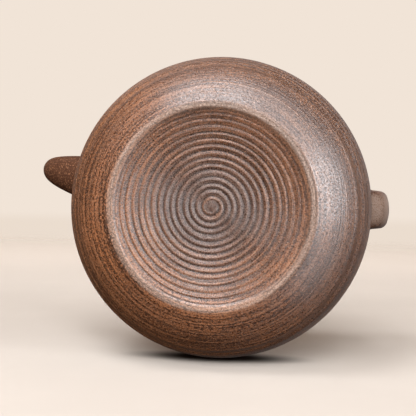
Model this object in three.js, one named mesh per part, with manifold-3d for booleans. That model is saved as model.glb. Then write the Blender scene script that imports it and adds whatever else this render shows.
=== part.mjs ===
// A wheel-thrown stoneware teapot with a hinged lid, in millimetres, +Z up.
// The foot stands on z = 0, and the origin is the middle of the pot's footprint box.
// The handle points along +X and the spout roughly along -X.
import * as THREE from "three";
import { mergeVertices } from "three/addons/utils/BufferGeometryUtils.js";
import Module from "manifold-3d";

const wasm = await Module();
wasm.setup();

const { degToRad } = THREE.MathUtils;

// Values shared by every piece
const luteGap = 0.3; // slip joint between two pieces of clay
const cutOverrun = 8; // how far a cutter runs past what it cuts
const potSides = 52; // facets round the pot's axis

// Thrown body
const bodyRadius = 70; // at the widest girth
const girthHeight = 37;
const shoulderHeight = 80; // where the shoulder meets the neck
const neckRadius = 34;
const neckHeight = 6;
const neckWall = 5.5;
const wallThickness = 5;
const floorThickness = 5;
const floorRadius = 45; // where the inside turns up from the floor
const flankReach = 60; // half width of the ellipse that the flank follows up to the girth
const rimRounding = 0.8;
const throatRounding = 2.5;
const flankSteps = 8; // facets up the outside from the foot to the girth
const shoulderSteps = 10; // and from the girth to the neck

// Foot ring and the recess trimmed out under it
const footRadius = 44.5; // outer edge of the flat that the pot stands on
const footWidth = 2;
const footEdgeWidth = 1.5; // rounded edge from the flat to the recess
const footEdgeRise = 0.7;
const recessDepth = 6.5;
const recessPower = 3; // how flat the middle of the recess is

// Spiral groove that the trimming tool left in the recess
const groovePitch = 2.75;
const grooveDepth = 0.6;
const grooveLines = 2; // lines of points across one pitch: a trough and a crest
const grooveFadeWidth = 5; // the groove runs out over this width at the edge
const toolDwellShare = 0.12; // how unevenly the tool moves out within one turn
const toolLeadShare = 0.19; // where in the turn it moves fastest

// Spout
const spoutProjection = 38; // from the girth to the outside of the tip
const spoutSkew = 11.5; // degrees that the spout is set off the line through the handle
const spoutTipRise = 1.5; // tip above the rim of the neck
const spoutTipRadius = 6.2;
const spoutTipWall = 1.7;
const spoutTipLean = 4; // of the last stretch of the centre line
const spoutTipStretch = 26; // length of that stretch's handle
const spoutRootRadius = 13.5;
const spoutRootWall = 3.6;
const spoutRootRise = 14; // root above the girth
const spoutRootStretch = 19; // length of the first stretch's handle
const spoutTaperPower = 1.5;
const spoutSteps = 13;
const spoutSides = 20;

// Strainer dome luted inside the wall behind the spout
const strainerRadius = 13;
const strainerWall = 2.4;
const strainerHoleRadius = 1.5;
const strainerHoleCounts = [1, 6, 10]; // holes in each ring of the pattern
const strainerRingAngle = 25; // degrees from one ring of holes to the next
const strainerSides = 16;
const strainerHoleSides = 6;

// Strap handle
const handleProjection = 13; // from the girth to the outside of the loop
const handleWidth = 18.6;
const handleThickness = 7.5;
const handleCornerRadius = 3.5;
const handleRise = 13; // top of the loop above the rim of the neck
const handleShoulderDrop = 10; // from the top of the shoulder to the start of the arch
const handleLowerRise = 8; // lower root above the girth
const handleEarClearance = 1.5; // between the hinge ears and the upper root
const handleRootSwell = 1.08; // section at the roots against the middle
const handleSteps = 26;
const handleCornerSteps = 3;

// Lid
const lidOverhang = 0.6; // past the outside of the neck
const lidEdgeThickness = 4.2;
const lidEdgeRounding = 1.6;
const lidDomeRise = 8.5;
const lidThickness = 4.6;
const lidDomeSteps = 6;
const flangeClearance = 1.6; // room that the flange needs to swing out of the mouth
const flangeThickness = 3.8;
const flangeDepth = 6.5;
const flangeChamfer = 1;
const ventRadius = 1.5;
const ventInset = 0.6; // clay left between the vent and the flange
const ventSides = 12;

// Knob
const knobRadius = 10;
const knobWaistRadius = 5.6;
const knobFootRadius = 7.2;
const knobWaistRise = 2.4;
const knobBallHeight = 11;
const knobSides = 28;
const knobBallSteps = 9;

// Hinge between the lid and the shoulder
const pinRadius = 1.5;
const pinClearance = 0.35; // round the pin, and between the tongue and each ear
const pinSetback = 7; // from the outside of the neck to the pin's axis
const pinRise = 3; // pin's axis above the rim of the neck
const pinHeadRadius = 3;
const pinHeadHeight = 1.5;
const pinCapBore = 2; // how far the pin's end runs into its cap
const tongueWidth = 10;
const tongueEndRadius = 4.4;
const tongueThickness = 3.2; // of the strap that lies on the lid
const tongueSeatLength = 9;
const tongueSteps = 6;
const earThickness = 6;
const earTopRadius = 4.6;
const earFootSpread = 1.5; // of the ear's foot past its top, on each side
const hingeSides = 20;

// Sizes that follow from those above
const rimHeight = shoulderHeight + neckHeight;
const mouthRadius = neckRadius - neckWall;
const cavityRadius = bodyRadius - wallThickness;
const floorHeight = recessDepth + floorThickness;
const flankShare = (footRadius - bodyRadius + flankReach) / flankReach;
const flankHeight = girthHeight / Math.sqrt(1 - flankShare ** 2);
const footInnerRadius = footRadius - footWidth;
const recessRadius = footInnerRadius - footEdgeWidth;
const lidSeat = rimHeight + luteGap;
const lidRadius = neckRadius + lidOverhang;
const lidEdgeTop = lidSeat + lidEdgeThickness;
const lidTop = lidEdgeTop + lidDomeRise;
const flangeRadius = mouthRadius - flangeClearance;
const flangeBore = flangeRadius - flangeThickness;
const ventReach = flangeBore - ventInset - ventRadius;
const pinReach = neckRadius + pinSetback;
const pinHeight = rimHeight + pinRise;
const earInnerFace = tongueWidth / 2 + pinClearance;
const earOuterFace = earInnerFace + earThickness;
const handleReach = bodyRadius + handleProjection;
const spoutReach = bodyRadius + spoutProjection;
const spoutTipReach = spoutReach - spoutTipRadius;
const spoutTipHeight = rimHeight + spoutTipRise;
const spoutRootReach = cavityRadius - wallThickness;
const spoutRootHeight = girthHeight + spoutRootRise;
const spoutAzimuth = Math.PI + degToRad(spoutSkew);

// A closed three.js mesh becomes a solid, and a solid becomes a geometry
function solidFrom(geometry) {
  const bare = geometry.clone();
  bare.deleteAttribute("normal");
  bare.deleteAttribute("uv");
  const merged = mergeVertices(bare, 1e-4);
  const mesh = new wasm.Mesh({
    numProp: 3,
    vertProperties: new Float32Array(merged.attributes.position.array),
    triVerts: new Uint32Array(merged.index.array),
  });
  return new wasm.Manifold(mesh);
}

function geometryFrom(solid) {
  const { vertProperties, triVerts } = solid.getMesh();
  const geometry = new THREE.BufferGeometry();
  geometry.setAttribute("position", new THREE.BufferAttribute(new Float32Array(vertProperties), 3));
  geometry.setIndex(new THREE.BufferAttribute(new Uint32Array(triVerts), 1));
  geometry.computeVertexNormals();
  return geometry;
}

function geometryOfFaces(points, faces) {
  const geometry = new THREE.BufferGeometry();
  const flat = points.flatMap((point) => point.toArray());
  geometry.setAttribute("position", new THREE.Float32BufferAttribute(flat, 3));
  geometry.setIndex(faces.flat());
  return geometry;
}

// A (radius, height) profile turned about the pot's axis, with the material on the left of its path
function turned(profile, segments = potSides) {
  const geometry = new THREE.LatheGeometry(profile.map(([r, z]) => new THREE.Vector2(r, z)), segments);
  return solidFrom(geometry.rotateX(Math.PI / 2));
}

// Points along a quarter of an ellipse after its first one; place gets the cosine and the sine
function ellipseQuarter(steps, place) {
  return Array.from({ length: steps }, (_, i) => {
    const angle = ((i + 1) / steps) * (Math.PI / 2);
    return place(Math.cos(angle), Math.sin(angle));
  });
}

// Outside of the body from the foot's outer edge up to the rim, stood off by a gap
function outsideProfile(gap) {
  const footAngle = Math.asin(flankShare);
  const flank = Array.from({ length: flankSteps + 1 }, (_, i) => {
    const angle = footAngle + (i / flankSteps) * (Math.PI / 2 - footAngle);
    return [
      bodyRadius - flankReach + (flankReach + gap) * Math.sin(angle),
      girthHeight - (flankHeight + gap) * Math.cos(angle),
    ];
  });
  const shoulder = ellipseQuarter(shoulderSteps, (c, s) => [
    neckRadius + gap + (bodyRadius - neckRadius) * c,
    girthHeight + (shoulderHeight + gap - girthHeight) * s,
  ]);
  return [
    ...flank,
    ...shoulder,
    [neckRadius + gap, rimHeight - rimRounding],
    [neckRadius + gap - rimRounding, rimHeight + gap],
  ];
}

// Height of the shoulder's surface at a distance from the pot's axis
function shoulderAt(reach) {
  const share = (reach - neckRadius) / (bodyRadius - neckRadius);
  return girthHeight + (shoulderHeight - girthHeight) * Math.sqrt(1 - share ** 2);
}

// Reach of the shoulder's surface at a height
function shoulderReachAt(height) {
  const share = (height - girthHeight) / (shoulderHeight - girthHeight);
  return neckRadius + (bodyRadius - neckRadius) * Math.sqrt(1 - share ** 2);
}

// The cavity from the throat down to the middle of its floor, drawn in by a gap
function cavityProfile(gap) {
  const throatRadius = mouthRadius + throatRounding - gap;
  const throatHeight = shoulderHeight - wallThickness - gap;
  const underShoulder = ellipseQuarter(shoulderSteps - 3, (c, s) => [
    throatRadius + (cavityRadius - gap - throatRadius) * s,
    girthHeight + (throatHeight - girthHeight) * c,
  ]);
  const underGirth = ellipseQuarter(flankSteps - 3, (c, s) => [
    floorRadius + (cavityRadius - gap - floorRadius) * c,
    girthHeight - (girthHeight - floorHeight - gap) * s,
  ]);
  return [
    [mouthRadius - gap, throatHeight + throatRounding],
    [throatRadius, throatHeight],
    ...underShoulder,
    ...underGirth,
    [0, floorHeight + gap],
  ];
}

// Section of the recess under the foot, from its middle to its edge
class RecessCurve extends THREE.Curve {
  getPoint(t, target = new THREE.Vector2()) {
    return target.set(recessRadius * t, footEdgeRise + (recessDepth - footEdgeRise) * (1 - t ** recessPower));
  }
}

// Adds a ring of points at a radius and height, and returns their numbers
function addRing(points, radius, height) {
  return Array.from({ length: potSides }, (_, j) => {
    const angle = (2 * Math.PI * j) / potSides;
    points.push(new THREE.Vector3(radius * Math.cos(angle), radius * Math.sin(angle), height));
    return points.length - 1;
  });
}

// Skin of the recess. Its lines of points follow the spiral out from the middle, so the trough
// and the crest of the groove are edges all the way. It ends in a plain ring, which it returns.
function addGroovedRecess(points, faces) {
  const curve = new RecessCurve();
  const reach = curve.getLength();
  const last = (Math.ceil(reach / groovePitch) - 2) * potSides;
  const leadIn = Math.sin(2 * Math.PI * toolLeadShare);
  const addPoint = (line, i) => {
    const turn = i / potSides;
    const dwell = toolDwellShare * (Math.sin(2 * Math.PI * (turn - toolLeadShare)) + leadIn);
    const along = groovePitch * (turn + dwell + line / grooveLines);
    const spot = curve.getPointAt(along / reach);
    const fade = Math.min((reach - along) / grooveFadeWidth, along / groovePitch, 1);
    const cut = (grooveDepth * fade * (1 + Math.cos((2 * Math.PI * line) / grooveLines))) / 2;
    const angle = 2 * Math.PI * turn;
    points.push(new THREE.Vector3(spot.x * Math.cos(angle), spot.x * Math.sin(angle), spot.y + cut));
    return points.length - 1;
  };
  const lines = Array.from({ length: grooveLines }, (_, line) =>
    Array.from({ length: last + 1 + (line === 0 ? potSides : 0) }, (_, i) => addPoint(line, i)),
  );
  const at = (line, i) => (line === grooveLines ? lines[0][i + potSides] : lines[line][i]);
  for (let line = 0; line < grooveLines; line += 1)
    for (let i = 0; i < last; i += 1) {
      faces.push([at(line, i), at(line, i + 1), at(line + 1, i + 1)]);
      faces.push([at(line, i), at(line + 1, i + 1), at(line + 1, i)]);
    }
  // The first turn closes on the middle
  for (let i = 1; i < potSides - 1; i += 1) faces.push([at(0, 0), at(0, i + 1), at(0, i)]);
  for (let line = 0; line < grooveLines; line += 1)
    faces.push([at(line, 0), at(line + 1, 0), at(0, potSides - 1)]);
  // The last turn runs out into the ring
  const ring = addRing(points, recessRadius, footEdgeRise);
  for (let j = 1; j < potSides; j += 1) {
    const next = ring[(j + 1) % potSides];
    faces.push([at(0, last + j), at(0, last + j + 1), next]);
    faces.push([at(0, last + j), next, ring[j]]);
  }
  faces.push([ring[1], ring[0], at(0, last + potSides)]);
  for (let line = grooveLines; line > 0; line -= 1)
    faces.push([ring[1], at(line, last), at(line - 1, last)]);
  faces.push([ring[1], at(0, last), at(0, last + 1)]);
  return ring;
}

// The thrown shell: grooved recess, foot, wall, neck and cavity in one skin
function bodySolid() {
  const points = [];
  const faces = [];
  const cavity = cavityProfile(0);
  const floorMiddle = cavity.pop();
  const profile = [
    [recessRadius + footEdgeWidth / 3, footEdgeRise / 4],
    [footInnerRadius, 0],
    ...outsideProfile(0),
    [mouthRadius + rimRounding, rimHeight],
    [mouthRadius, rimHeight - rimRounding],
    ...cavity,
  ];
  let ring = addGroovedRecess(points, faces);
  for (const [radius, height] of profile) {
    const next = addRing(points, radius, height);
    for (let j = 0; j < potSides; j += 1) {
      const k = (j + 1) % potSides;
      faces.push([ring[j], ring[k], next[k]], [ring[j], next[k], next[j]]);
    }
    ring = next;
  }
  points.push(new THREE.Vector3(0, 0, floorMiddle[1]));
  for (let j = 0; j < potSides; j += 1) faces.push([ring[j], ring[(j + 1) % potSides], points.length - 1]);
  return solidFrom(geometryOfFaces(points, faces)).subtract(spoutPort());
}

// What the body fills from outside, stood off by the slip joint: it trims each piece luted on
function bodyEnvelope() {
  return turned([[0, -luteGap], ...outsideProfile(luteGap), [0, rimHeight + luteGap]]);
}

// A section carried along a curve in the XZ plane. Each point of a section is (across, outward).
function loft(curve, steps, sectionAt) {
  const points = [];
  const faces = [];
  const count = sectionAt(0).length;
  for (let i = 0; i <= steps; i += 1) {
    const centre = curve.getPointAt(i / steps);
    const along = curve.getTangentAt(i / steps);
    for (const [across, outward] of sectionAt(i / steps))
      points.push(new THREE.Vector3(centre.x - along.z * outward, across, centre.z + along.x * outward));
  }
  for (let i = 0; i < steps; i += 1)
    for (let j = 0; j < count; j += 1) {
      const a = i * count + j;
      const b = i * count + ((j + 1) % count);
      faces.push([a, b, b + count], [a, b + count, a + count]);
    }
  const end = steps * count;
  for (let j = 1; j < count - 1; j += 1) faces.push([0, j + 1, j], [end, end + j, end + j + 1]);
  return geometryOfFaces(points, faces);
}

function roundSection(radius) {
  return Array.from({ length: spoutSides }, (_, j) => {
    const angle = (2 * Math.PI * j) / spoutSides;
    return [radius * Math.cos(angle), radius * Math.sin(angle)];
  });
}

// Outer radius and bore of the spout, and its tube with either of them
function spoutOuterAt(share) {
  return spoutTipRadius + (spoutRootRadius - spoutTipRadius) * (1 - share) ** spoutTaperPower;
}

function spoutBoreAt(share) {
  return spoutOuterAt(share) - spoutTipWall - (spoutRootWall - spoutTipWall) * (1 - share);
}

function spoutTube(radiusAt) {
  const endHeight = spoutTipHeight + spoutTipRadius;
  const endReach = spoutTipReach + (spoutTipLean * spoutTipRadius) / spoutTipStretch;
  const line = new THREE.CubicBezierCurve3(
    new THREE.Vector3(spoutRootReach, 0, spoutRootHeight),
    new THREE.Vector3(spoutRootReach + spoutRootStretch, 0, spoutRootHeight),
    new THREE.Vector3(endReach - spoutTipLean, 0, endHeight - spoutTipStretch),
    new THREE.Vector3(endReach, 0, endHeight),
  );
  const tube = loft(line, spoutSteps, (share) => roundSection(radiusAt(share)));
  return solidFrom(tube.rotateZ(spoutAzimuth));
}

function spoutSolid(envelope) {
  const span = spoutReach + cutOverrun;
  const above = new THREE.BoxGeometry(span * 2, span * 2, spoutTipStretch);
  above.translate(0, 0, spoutTipHeight + spoutTipStretch / 2);
  return spoutTube(spoutOuterAt).subtract(spoutTube(spoutBoreAt)).subtract(solidFrom(above)).subtract(envelope);
}

// The hole through the body's wall is the start of the spout's bore, run straight through
function spoutPort() {
  const length = bodyRadius - spoutRootReach + cutOverrun * 2;
  const port = new THREE.CylinderGeometry(spoutBoreAt(0), spoutBoreAt(0), length, spoutSides);
  port.rotateZ(Math.PI / 2);
  port.translate(spoutRootReach - cutOverrun + length / 2, 0, spoutRootHeight);
  return solidFrom(port.rotateZ(spoutAzimuth));
}

function strainerSolid() {
  const place = (geometry) => {
    geometry.translate(cavityRadius - luteGap, 0, spoutRootHeight);
    return solidFrom(geometry.rotateZ(spoutAzimuth));
  };
  const ball = (radius) => place(new THREE.SphereGeometry(radius, strainerSides, strainerSides / 2));
  const cavity = turned([...cavityProfile(luteGap).reverse(), [0, shoulderHeight]]);
  let dome = ball(strainerRadius).subtract(ball(strainerRadius - strainerWall)).intersect(cavity);
  for (const [ring, count] of strainerHoleCounts.entries())
    for (let i = 0; i < count; i += 1) {
      const hole = new THREE.CylinderGeometry(strainerHoleRadius, strainerHoleRadius, strainerRadius, strainerHoleSides);
      hole.translate(0, strainerRadius, 0);
      hole.rotateZ(Math.PI / 2 - degToRad(ring * strainerRingAngle));
      hole.rotateX((2 * Math.PI * i) / count);
      dome = dome.subtract(place(hole));
    }
  return dome;
}

// Rounded rectangle across the handle
function strapSection(width, thickness) {
  const corners = [[1, -1], [1, 1], [-1, 1], [-1, -1]];
  return corners.flatMap(([across, outward], quarter) =>
    Array.from({ length: handleCornerSteps + 1 }, (_, i) => {
      const angle = (quarter - 1 + i / handleCornerSteps) * (Math.PI / 2);
      return [
        across * (width / 2 - handleCornerRadius) + handleCornerRadius * Math.cos(angle),
        outward * (thickness / 2 - handleCornerRadius) + handleCornerRadius * Math.sin(angle),
      ];
    }),
  );
}

// The handle rises from the shoulder, arches over to its full reach and runs in to the girth
function handleSolid(envelope) {
  const outer = handleReach - handleThickness / 2;
  const upperRoot =
    pinReach + earTopRadius + earFootSpread + handleEarClearance + (handleThickness * handleRootSwell) / 2;
  const archStart = shoulderHeight - handleShoulderDrop;
  const archTop = rimHeight + handleRise - handleThickness / 2;
  const archPull = archStart + (archTop - archStart) * (4 / 3);
  const lowerHeight = girthHeight + handleLowerRise;
  const lowerRoot = shoulderReachAt(lowerHeight) - wallThickness;
  const line = new THREE.CurvePath();
  line.add(
    new THREE.CubicBezierCurve3(
      new THREE.Vector3(upperRoot, 0, archStart),
      new THREE.Vector3(upperRoot, 0, archPull),
      new THREE.Vector3(outer, 0, archPull),
      new THREE.Vector3(outer, 0, archStart),
    ),
  );
  line.add(
    new THREE.CubicBezierCurve3(
      new THREE.Vector3(outer, 0, archStart),
      new THREE.Vector3(outer, 0, (archStart + lowerHeight) / 2),
      new THREE.Vector3((outer + lowerRoot) / 2, 0, lowerHeight + handleThickness / 2),
      new THREE.Vector3(lowerRoot, 0, lowerHeight),
    ),
  );
  const strap = loft(line, handleSteps, (share) => {
    const swell = 1 + (handleRootSwell - 1) * Math.abs(2 * share - 1) ** 3;
    return strapSection(handleWidth * swell, handleThickness * swell);
  });
  return solidFrom(strap).subtract(envelope);
}

// Height of the lid's dome at a distance from the axis
function domeAt(reach) {
  return lidTop - lidDomeRise * (reach / lidRadius) ** 2;
}

// Edge and dome of the lid, stood off by a gap
function lidProfile(gap) {
  const domeRim = lidRadius - lidEdgeRounding;
  const dome = Array.from({ length: lidDomeSteps + 1 }, (_, i) => {
    const reach = domeRim * (1 - i / lidDomeSteps);
    return [reach, domeAt(reach) + gap];
  });
  return [
    [lidRadius + gap - lidEdgeRounding / 2, lidSeat - gap],
    [lidRadius + gap, lidSeat - gap + lidEdgeRounding / 2],
    [lidRadius + gap, lidEdgeTop - lidEdgeRounding / 2],
    ...dome,
  ];
}

function lidSolid() {
  const hollow = Array.from({ length: lidDomeSteps }, (_, i) => {
    const reach = (flangeBore * i) / (lidDomeSteps - 1);
    return [reach, domeAt(reach) - lidThickness];
  });
  const vent = new THREE.CylinderGeometry(ventRadius, ventRadius, lidThickness + cutOverrun, ventSides);
  vent.rotateX(Math.PI / 2);
  vent.translate(-ventReach, 0, domeAt(ventReach));
  return turned([...hollow, [flangeBore, lidSeat], ...lidProfile(0)]).subtract(solidFrom(vent));
}

function flangeSolid() {
  const top = lidSeat - luteGap;
  const bottom = top - flangeDepth;
  return turned([
    [flangeBore, bottom],
    [flangeRadius - flangeChamfer, bottom],
    [flangeRadius, bottom + flangeChamfer],
    [flangeRadius, top],
    [flangeBore, top],
    [flangeBore, bottom],
  ]);
}

// The knob's foot follows the dome, and its ball starts where it is as wide as the waist
function knobSolid() {
  const seat = [0, 0.5, 1].map((share) => [knobFootRadius * share, domeAt(knobFootRadius * share) + luteGap]);
  const waistAngle = -Math.acos(knobWaistRadius / knobRadius);
  const ballStart = lidTop + luteGap + knobWaistRise;
  const middle = ballStart - (knobBallHeight / 2) * Math.sin(waistAngle);
  const ball = Array.from({ length: knobBallSteps }, (_, i) => {
    const angle = waistAngle + ((Math.PI / 2 - waistAngle) * i) / knobBallSteps;
    return [knobRadius * Math.cos(angle), middle + (knobBallHeight / 2) * Math.sin(angle)];
  });
  return turned([...seat, ...ball, [0, middle + knobBallHeight / 2]], knobSides);
}

// A flat outline of (reach, height) points given a thickness from one Y to another
function plate(shape, near, far) {
  const geometry = new THREE.ExtrudeGeometry(shape, {
    depth: far - near,
    bevelEnabled: false,
    curveSegments: hingeSides / 2,
  });
  geometry.rotateX(Math.PI / 2);
  geometry.translate(0, far, 0);
  return solidFrom(geometry);
}

function pinBore() {
  const radius = pinRadius + pinClearance;
  const bore = new THREE.CylinderGeometry(radius, radius, (earOuterFace + cutOverrun) * 2, hingeSides);
  return solidFrom(bore.translate(pinReach, 0, pinHeight));
}

// One of the two lugs that hold the pin. Its foot is cut to the shoulder.
function earSolid(side, envelope) {
  const left = pinReach - earTopRadius;
  const right = pinReach + earTopRadius;
  const flare = shoulderAt(pinReach);
  const foot = shoulderAt(right + earFootSpread) - wallThickness;
  const shape = new THREE.Shape();
  shape.moveTo(left - earFootSpread, foot);
  shape.lineTo(right + earFootSpread, foot);
  shape.lineTo(right + earFootSpread, flare - earFootSpread * 2);
  shape.quadraticCurveTo(right, flare, right, pinHeight);
  shape.absarc(pinReach, pinHeight, earTopRadius, 0, Math.PI, false);
  shape.quadraticCurveTo(left, flare + earFootSpread, left - earFootSpread, flare);
  const [near, far] = side > 0 ? [earInnerFace, earOuterFace] : [-earOuterFace, -earInnerFace];
  return plate(shape, near, far).subtract(pinBore()).subtract(envelope);
}

// The tongue lies on the lid, runs out over its edge and turns on the pin
function tongueSolid() {
  const underside = lidSeat + lidEdgeRounding;
  const drop = pinHeight - underside;
  const shape = new THREE.Shape();
  shape.moveTo(lidRadius - tongueSeatLength, underside);
  shape.absarc(pinReach, pinHeight, tongueEndRadius, Math.PI + Math.asin(drop / tongueEndRadius), Math.PI * 2.5, false);
  for (let i = 0; i <= tongueSteps; i += 1) {
    const share = i / tongueSteps;
    const reach = lidRadius - tongueSeatLength * share;
    shape.lineTo(reach, domeAt(reach) + tongueThickness * Math.sqrt(1 - share ** 2));
  }
  const lidEnvelope = turned([[0, lidSeat - luteGap], ...lidProfile(luteGap)]);
  return plate(shape, -tongueWidth / 2, tongueWidth / 2).subtract(pinBore()).subtract(lidEnvelope);
}

// Pin with a domed head, and the cap pressed over its other end, both turned about Y
const capBase = earOuterFace + luteGap;
const capBoreEnd = capBase + pinCapBore;

function atPin(profile) {
  const geometry = new THREE.LatheGeometry(profile.map(([r, y]) => new THREE.Vector2(r, y)), hingeSides);
  return solidFrom(geometry.translate(pinReach, 0, pinHeight));
}

function pinSolid() {
  return atPin([
    [0, -capBase - pinHeadHeight],
    [pinHeadRadius * Math.cos(Math.PI / 4), -capBase - pinHeadHeight],
    [pinHeadRadius, -capBase - pinHeadHeight / 2],
    [pinHeadRadius, -capBase],
    [pinRadius, -capBase],
    [pinRadius, capBoreEnd - luteGap],
    [0, capBoreEnd - luteGap],
  ]);
}

function pinCapSolid() {
  const boreRadius = pinRadius + luteGap;
  return atPin([
    [0, capBoreEnd],
    [boreRadius, capBoreEnd],
    [boreRadius, capBase],
    [pinHeadRadius, capBase],
    [pinHeadRadius, capBoreEnd],
    [pinHeadRadius * Math.cos(Math.PI / 4), capBoreEnd + pinHeadHeight],
    [0, capBoreEnd + pinHeadHeight],
  ]);
}

// Materials
const clay = (color, roughness) => new THREE.MeshStandardMaterial({ color, roughness, metalness: 0 });
const bodyClay = clay(0x7d5641, 0.55);
const spoutClay = clay(0x664333, 0.6);
const handleClay = clay(0x5c4238, 0.5);
const lidClay = clay(0x7a5440, 0.55);
const innerClay = clay(0x8a6a56, 0.75);
const brass = new THREE.MeshStandardMaterial({ color: 0xa98a52, roughness: 0.35, metalness: 1 });

// Assembly
const envelope = bodyEnvelope();
const pieces = [
  ["pot_body", bodySolid(), bodyClay],
  ["spout", spoutSolid(envelope), spoutClay],
  ["strainer_dome", strainerSolid(), innerClay],
  ["handle", handleSolid(envelope), handleClay],
  ["hinge_ear_left", earSolid(-1, envelope), handleClay],
  ["hinge_ear_right", earSolid(1, envelope), handleClay],
  ["hinge_pin", pinSolid(), brass],
  ["pin_cap", pinCapSolid(), brass],
  ["lid", lidSolid(), lidClay],
  ["lid_flange", flangeSolid(), innerClay],
  ["lid_tongue", tongueSolid(), handleClay],
  ["lid_knob", knobSolid(), lidClay],
];

const teapot = new THREE.Group();
teapot.name = "teapot";
for (const [name, solid, material] of pieces) {
  const mesh = new THREE.Mesh(geometryFrom(solid), material);
  mesh.name = name;
  teapot.add(mesh);
}

// The middle of the footprint box becomes the origin, which sets the pot's axis off along +X
const footprint = new THREE.Box3().setFromObject(teapot).getCenter(new THREE.Vector3());
teapot.position.set(-footprint.x, -footprint.y, 0);

export default teapot;
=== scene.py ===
import math

import bpy
import numpy as np
from bpy.props import FloatProperty, FloatVectorProperty, PointerProperty
from bpy.types import Operator, Panel, PropertyGroup
from mathutils import Matrix, Vector


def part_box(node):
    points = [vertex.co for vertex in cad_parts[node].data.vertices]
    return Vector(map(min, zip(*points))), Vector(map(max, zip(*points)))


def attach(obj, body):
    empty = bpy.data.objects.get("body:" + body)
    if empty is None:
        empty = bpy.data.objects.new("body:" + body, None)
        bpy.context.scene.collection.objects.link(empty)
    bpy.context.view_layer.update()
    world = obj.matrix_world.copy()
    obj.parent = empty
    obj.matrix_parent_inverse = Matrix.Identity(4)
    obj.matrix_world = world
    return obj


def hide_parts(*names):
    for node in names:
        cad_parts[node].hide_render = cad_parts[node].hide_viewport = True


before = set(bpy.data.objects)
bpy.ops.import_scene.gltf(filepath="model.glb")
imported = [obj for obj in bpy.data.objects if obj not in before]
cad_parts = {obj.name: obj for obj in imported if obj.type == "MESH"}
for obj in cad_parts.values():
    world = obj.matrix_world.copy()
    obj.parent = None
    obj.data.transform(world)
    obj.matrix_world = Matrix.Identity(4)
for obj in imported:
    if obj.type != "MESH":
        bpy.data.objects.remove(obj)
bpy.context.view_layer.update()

bl_info = {
    "name": "Stoneware Teapot",
    "version": (1, 0, 0),
    "blender": (4, 5, 0),
    "location": "View3D > Sidebar > Teapot",
    "description": "Models a thrown stoneware teapot piece by piece round its packed frame",
    "category": "Object",
}

KNOB_LOW, KNOB_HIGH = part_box("lid_knob")
POT_AXIS = (KNOB_LOW.x + KNOB_HIGH.x) / 2
FULL_TURN = math.tau


def length(name, description, default):
    return FloatProperty(name=name, description=description, default=default, min=0, precision=5, unit="LENGTH")


def colour(name, description, default):
    return FloatVectorProperty(
        name=name, description=description, default=default, min=0, max=1, size=3, subtype="COLOR"
    )


def power(name, description, default):
    return FloatProperty(name=name, description=description, default=default, min=0, subtype="POWER")


class ThrownBodySizes(PropertyGroup):
    girth_radius: length("Girth radius", "Half the body's widest width", 0.070)
    girth_height: length("Girth height", "Height of the widest part above the table", 0.037)
    shoulder_height: length("Shoulder height", "Where the shoulder meets the neck", 0.080)
    neck_radius: length("Neck radius", "Outside of the neck", 0.034)
    neck_height: length("Neck height", "From the shoulder up to the rim", 0.006)
    neck_wall: length("Neck wall", "Thickness of the clay in the neck", 0.0055)
    wall: length("Wall", "Thickness of the thrown wall", 0.005)
    floor: length("Floor", "Thickness of the floor over the recess", 0.005)
    floor_radius: length("Floor radius", "Where the inside turns up from the floor", 0.045)
    flank_reach: length("Flank reach", "Half width of the ellipse from the foot up to the girth", 0.060)
    foot_radius: length("Foot radius", "Outer edge of the flat that the pot stands on", 0.0445)
    foot_width: length("Foot width", "Width of that flat", 0.002)
    foot_edge_width: length("Foot edge width", "Rounded edge from the flat into the recess", 0.0015)
    foot_edge_rise: length("Foot edge rise", "How far that edge climbs", 0.0007)
    recess_depth: length("Recess depth", "Depth of the recess at its middle", 0.0065)
    throwing_pitch: length("Throwing pitch", "Between the finger marks inside the wall", 0.0062)
    throwing_depth: length("Throwing depth", "Depth of the finger marks inside the wall", 0.00028)


class GrooveSizes(PropertyGroup):
    pitch: length("Pitch", "Between two turns of the trimming spiral", 0.00275)
    depth: length("Depth", "Depth of the spiral groove", 0.0006)
    fade: length("Fade", "Width over which the groove runs out at the edge", 0.0018)
    dwell: FloatProperty(
        name="Dwell", description="How unevenly the tool moves out within a turn", default=0.12, min=0, max=0.15
    )
    lead: FloatProperty(
        name="Lead", description="Share of the turn at which the tool moves fastest", default=0.19, min=0, max=1
    )


class SpoutSizes(PropertyGroup):
    skew: FloatProperty(
        name="Skew",
        description="Angle between the spout and the line through the handle",
        default=math.radians(11.5),
        subtype="ANGLE",
    )
    tip_reach: length("Tip reach", "From the pot's axis to the middle of the tip", 0.0994)
    tip_height: length("Tip height", "Height of the tip's edge", 0.0875)
    tip_radius: length("Tip radius", "Outside of the tip", 0.0056)
    tip_wall: length("Tip wall", "Thickness at the tip", 0.0017)
    tip_lean: length("Tip lean", "How far the last stretch leans out", 0.004)
    tip_stretch: length("Tip stretch", "Length of the last stretch", 0.026)
    root_radius: length("Root radius", "Outside of the root", 0.0126)
    root_wall: length("Root wall", "Thickness at the root", 0.0036)
    root_reach: length("Root reach", "From the pot's axis to the start of the tube", 0.060)
    root_height: length("Root height", "Height of the tube's start", 0.051)
    root_stretch: length("Root stretch", "Length of the first stretch", 0.019)
    flare: length("Flare", "How far the luted joint spreads", 0.0026)
    strainer_radius: length("Strainer radius", "Outside of the pierced dome behind the spout", 0.013)
    strainer_wall: length("Strainer wall", "Thickness of the pierced dome", 0.0024)
    strainer_hole: length("Strainer hole", "Radius of each hole in the dome", 0.0015)


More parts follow.
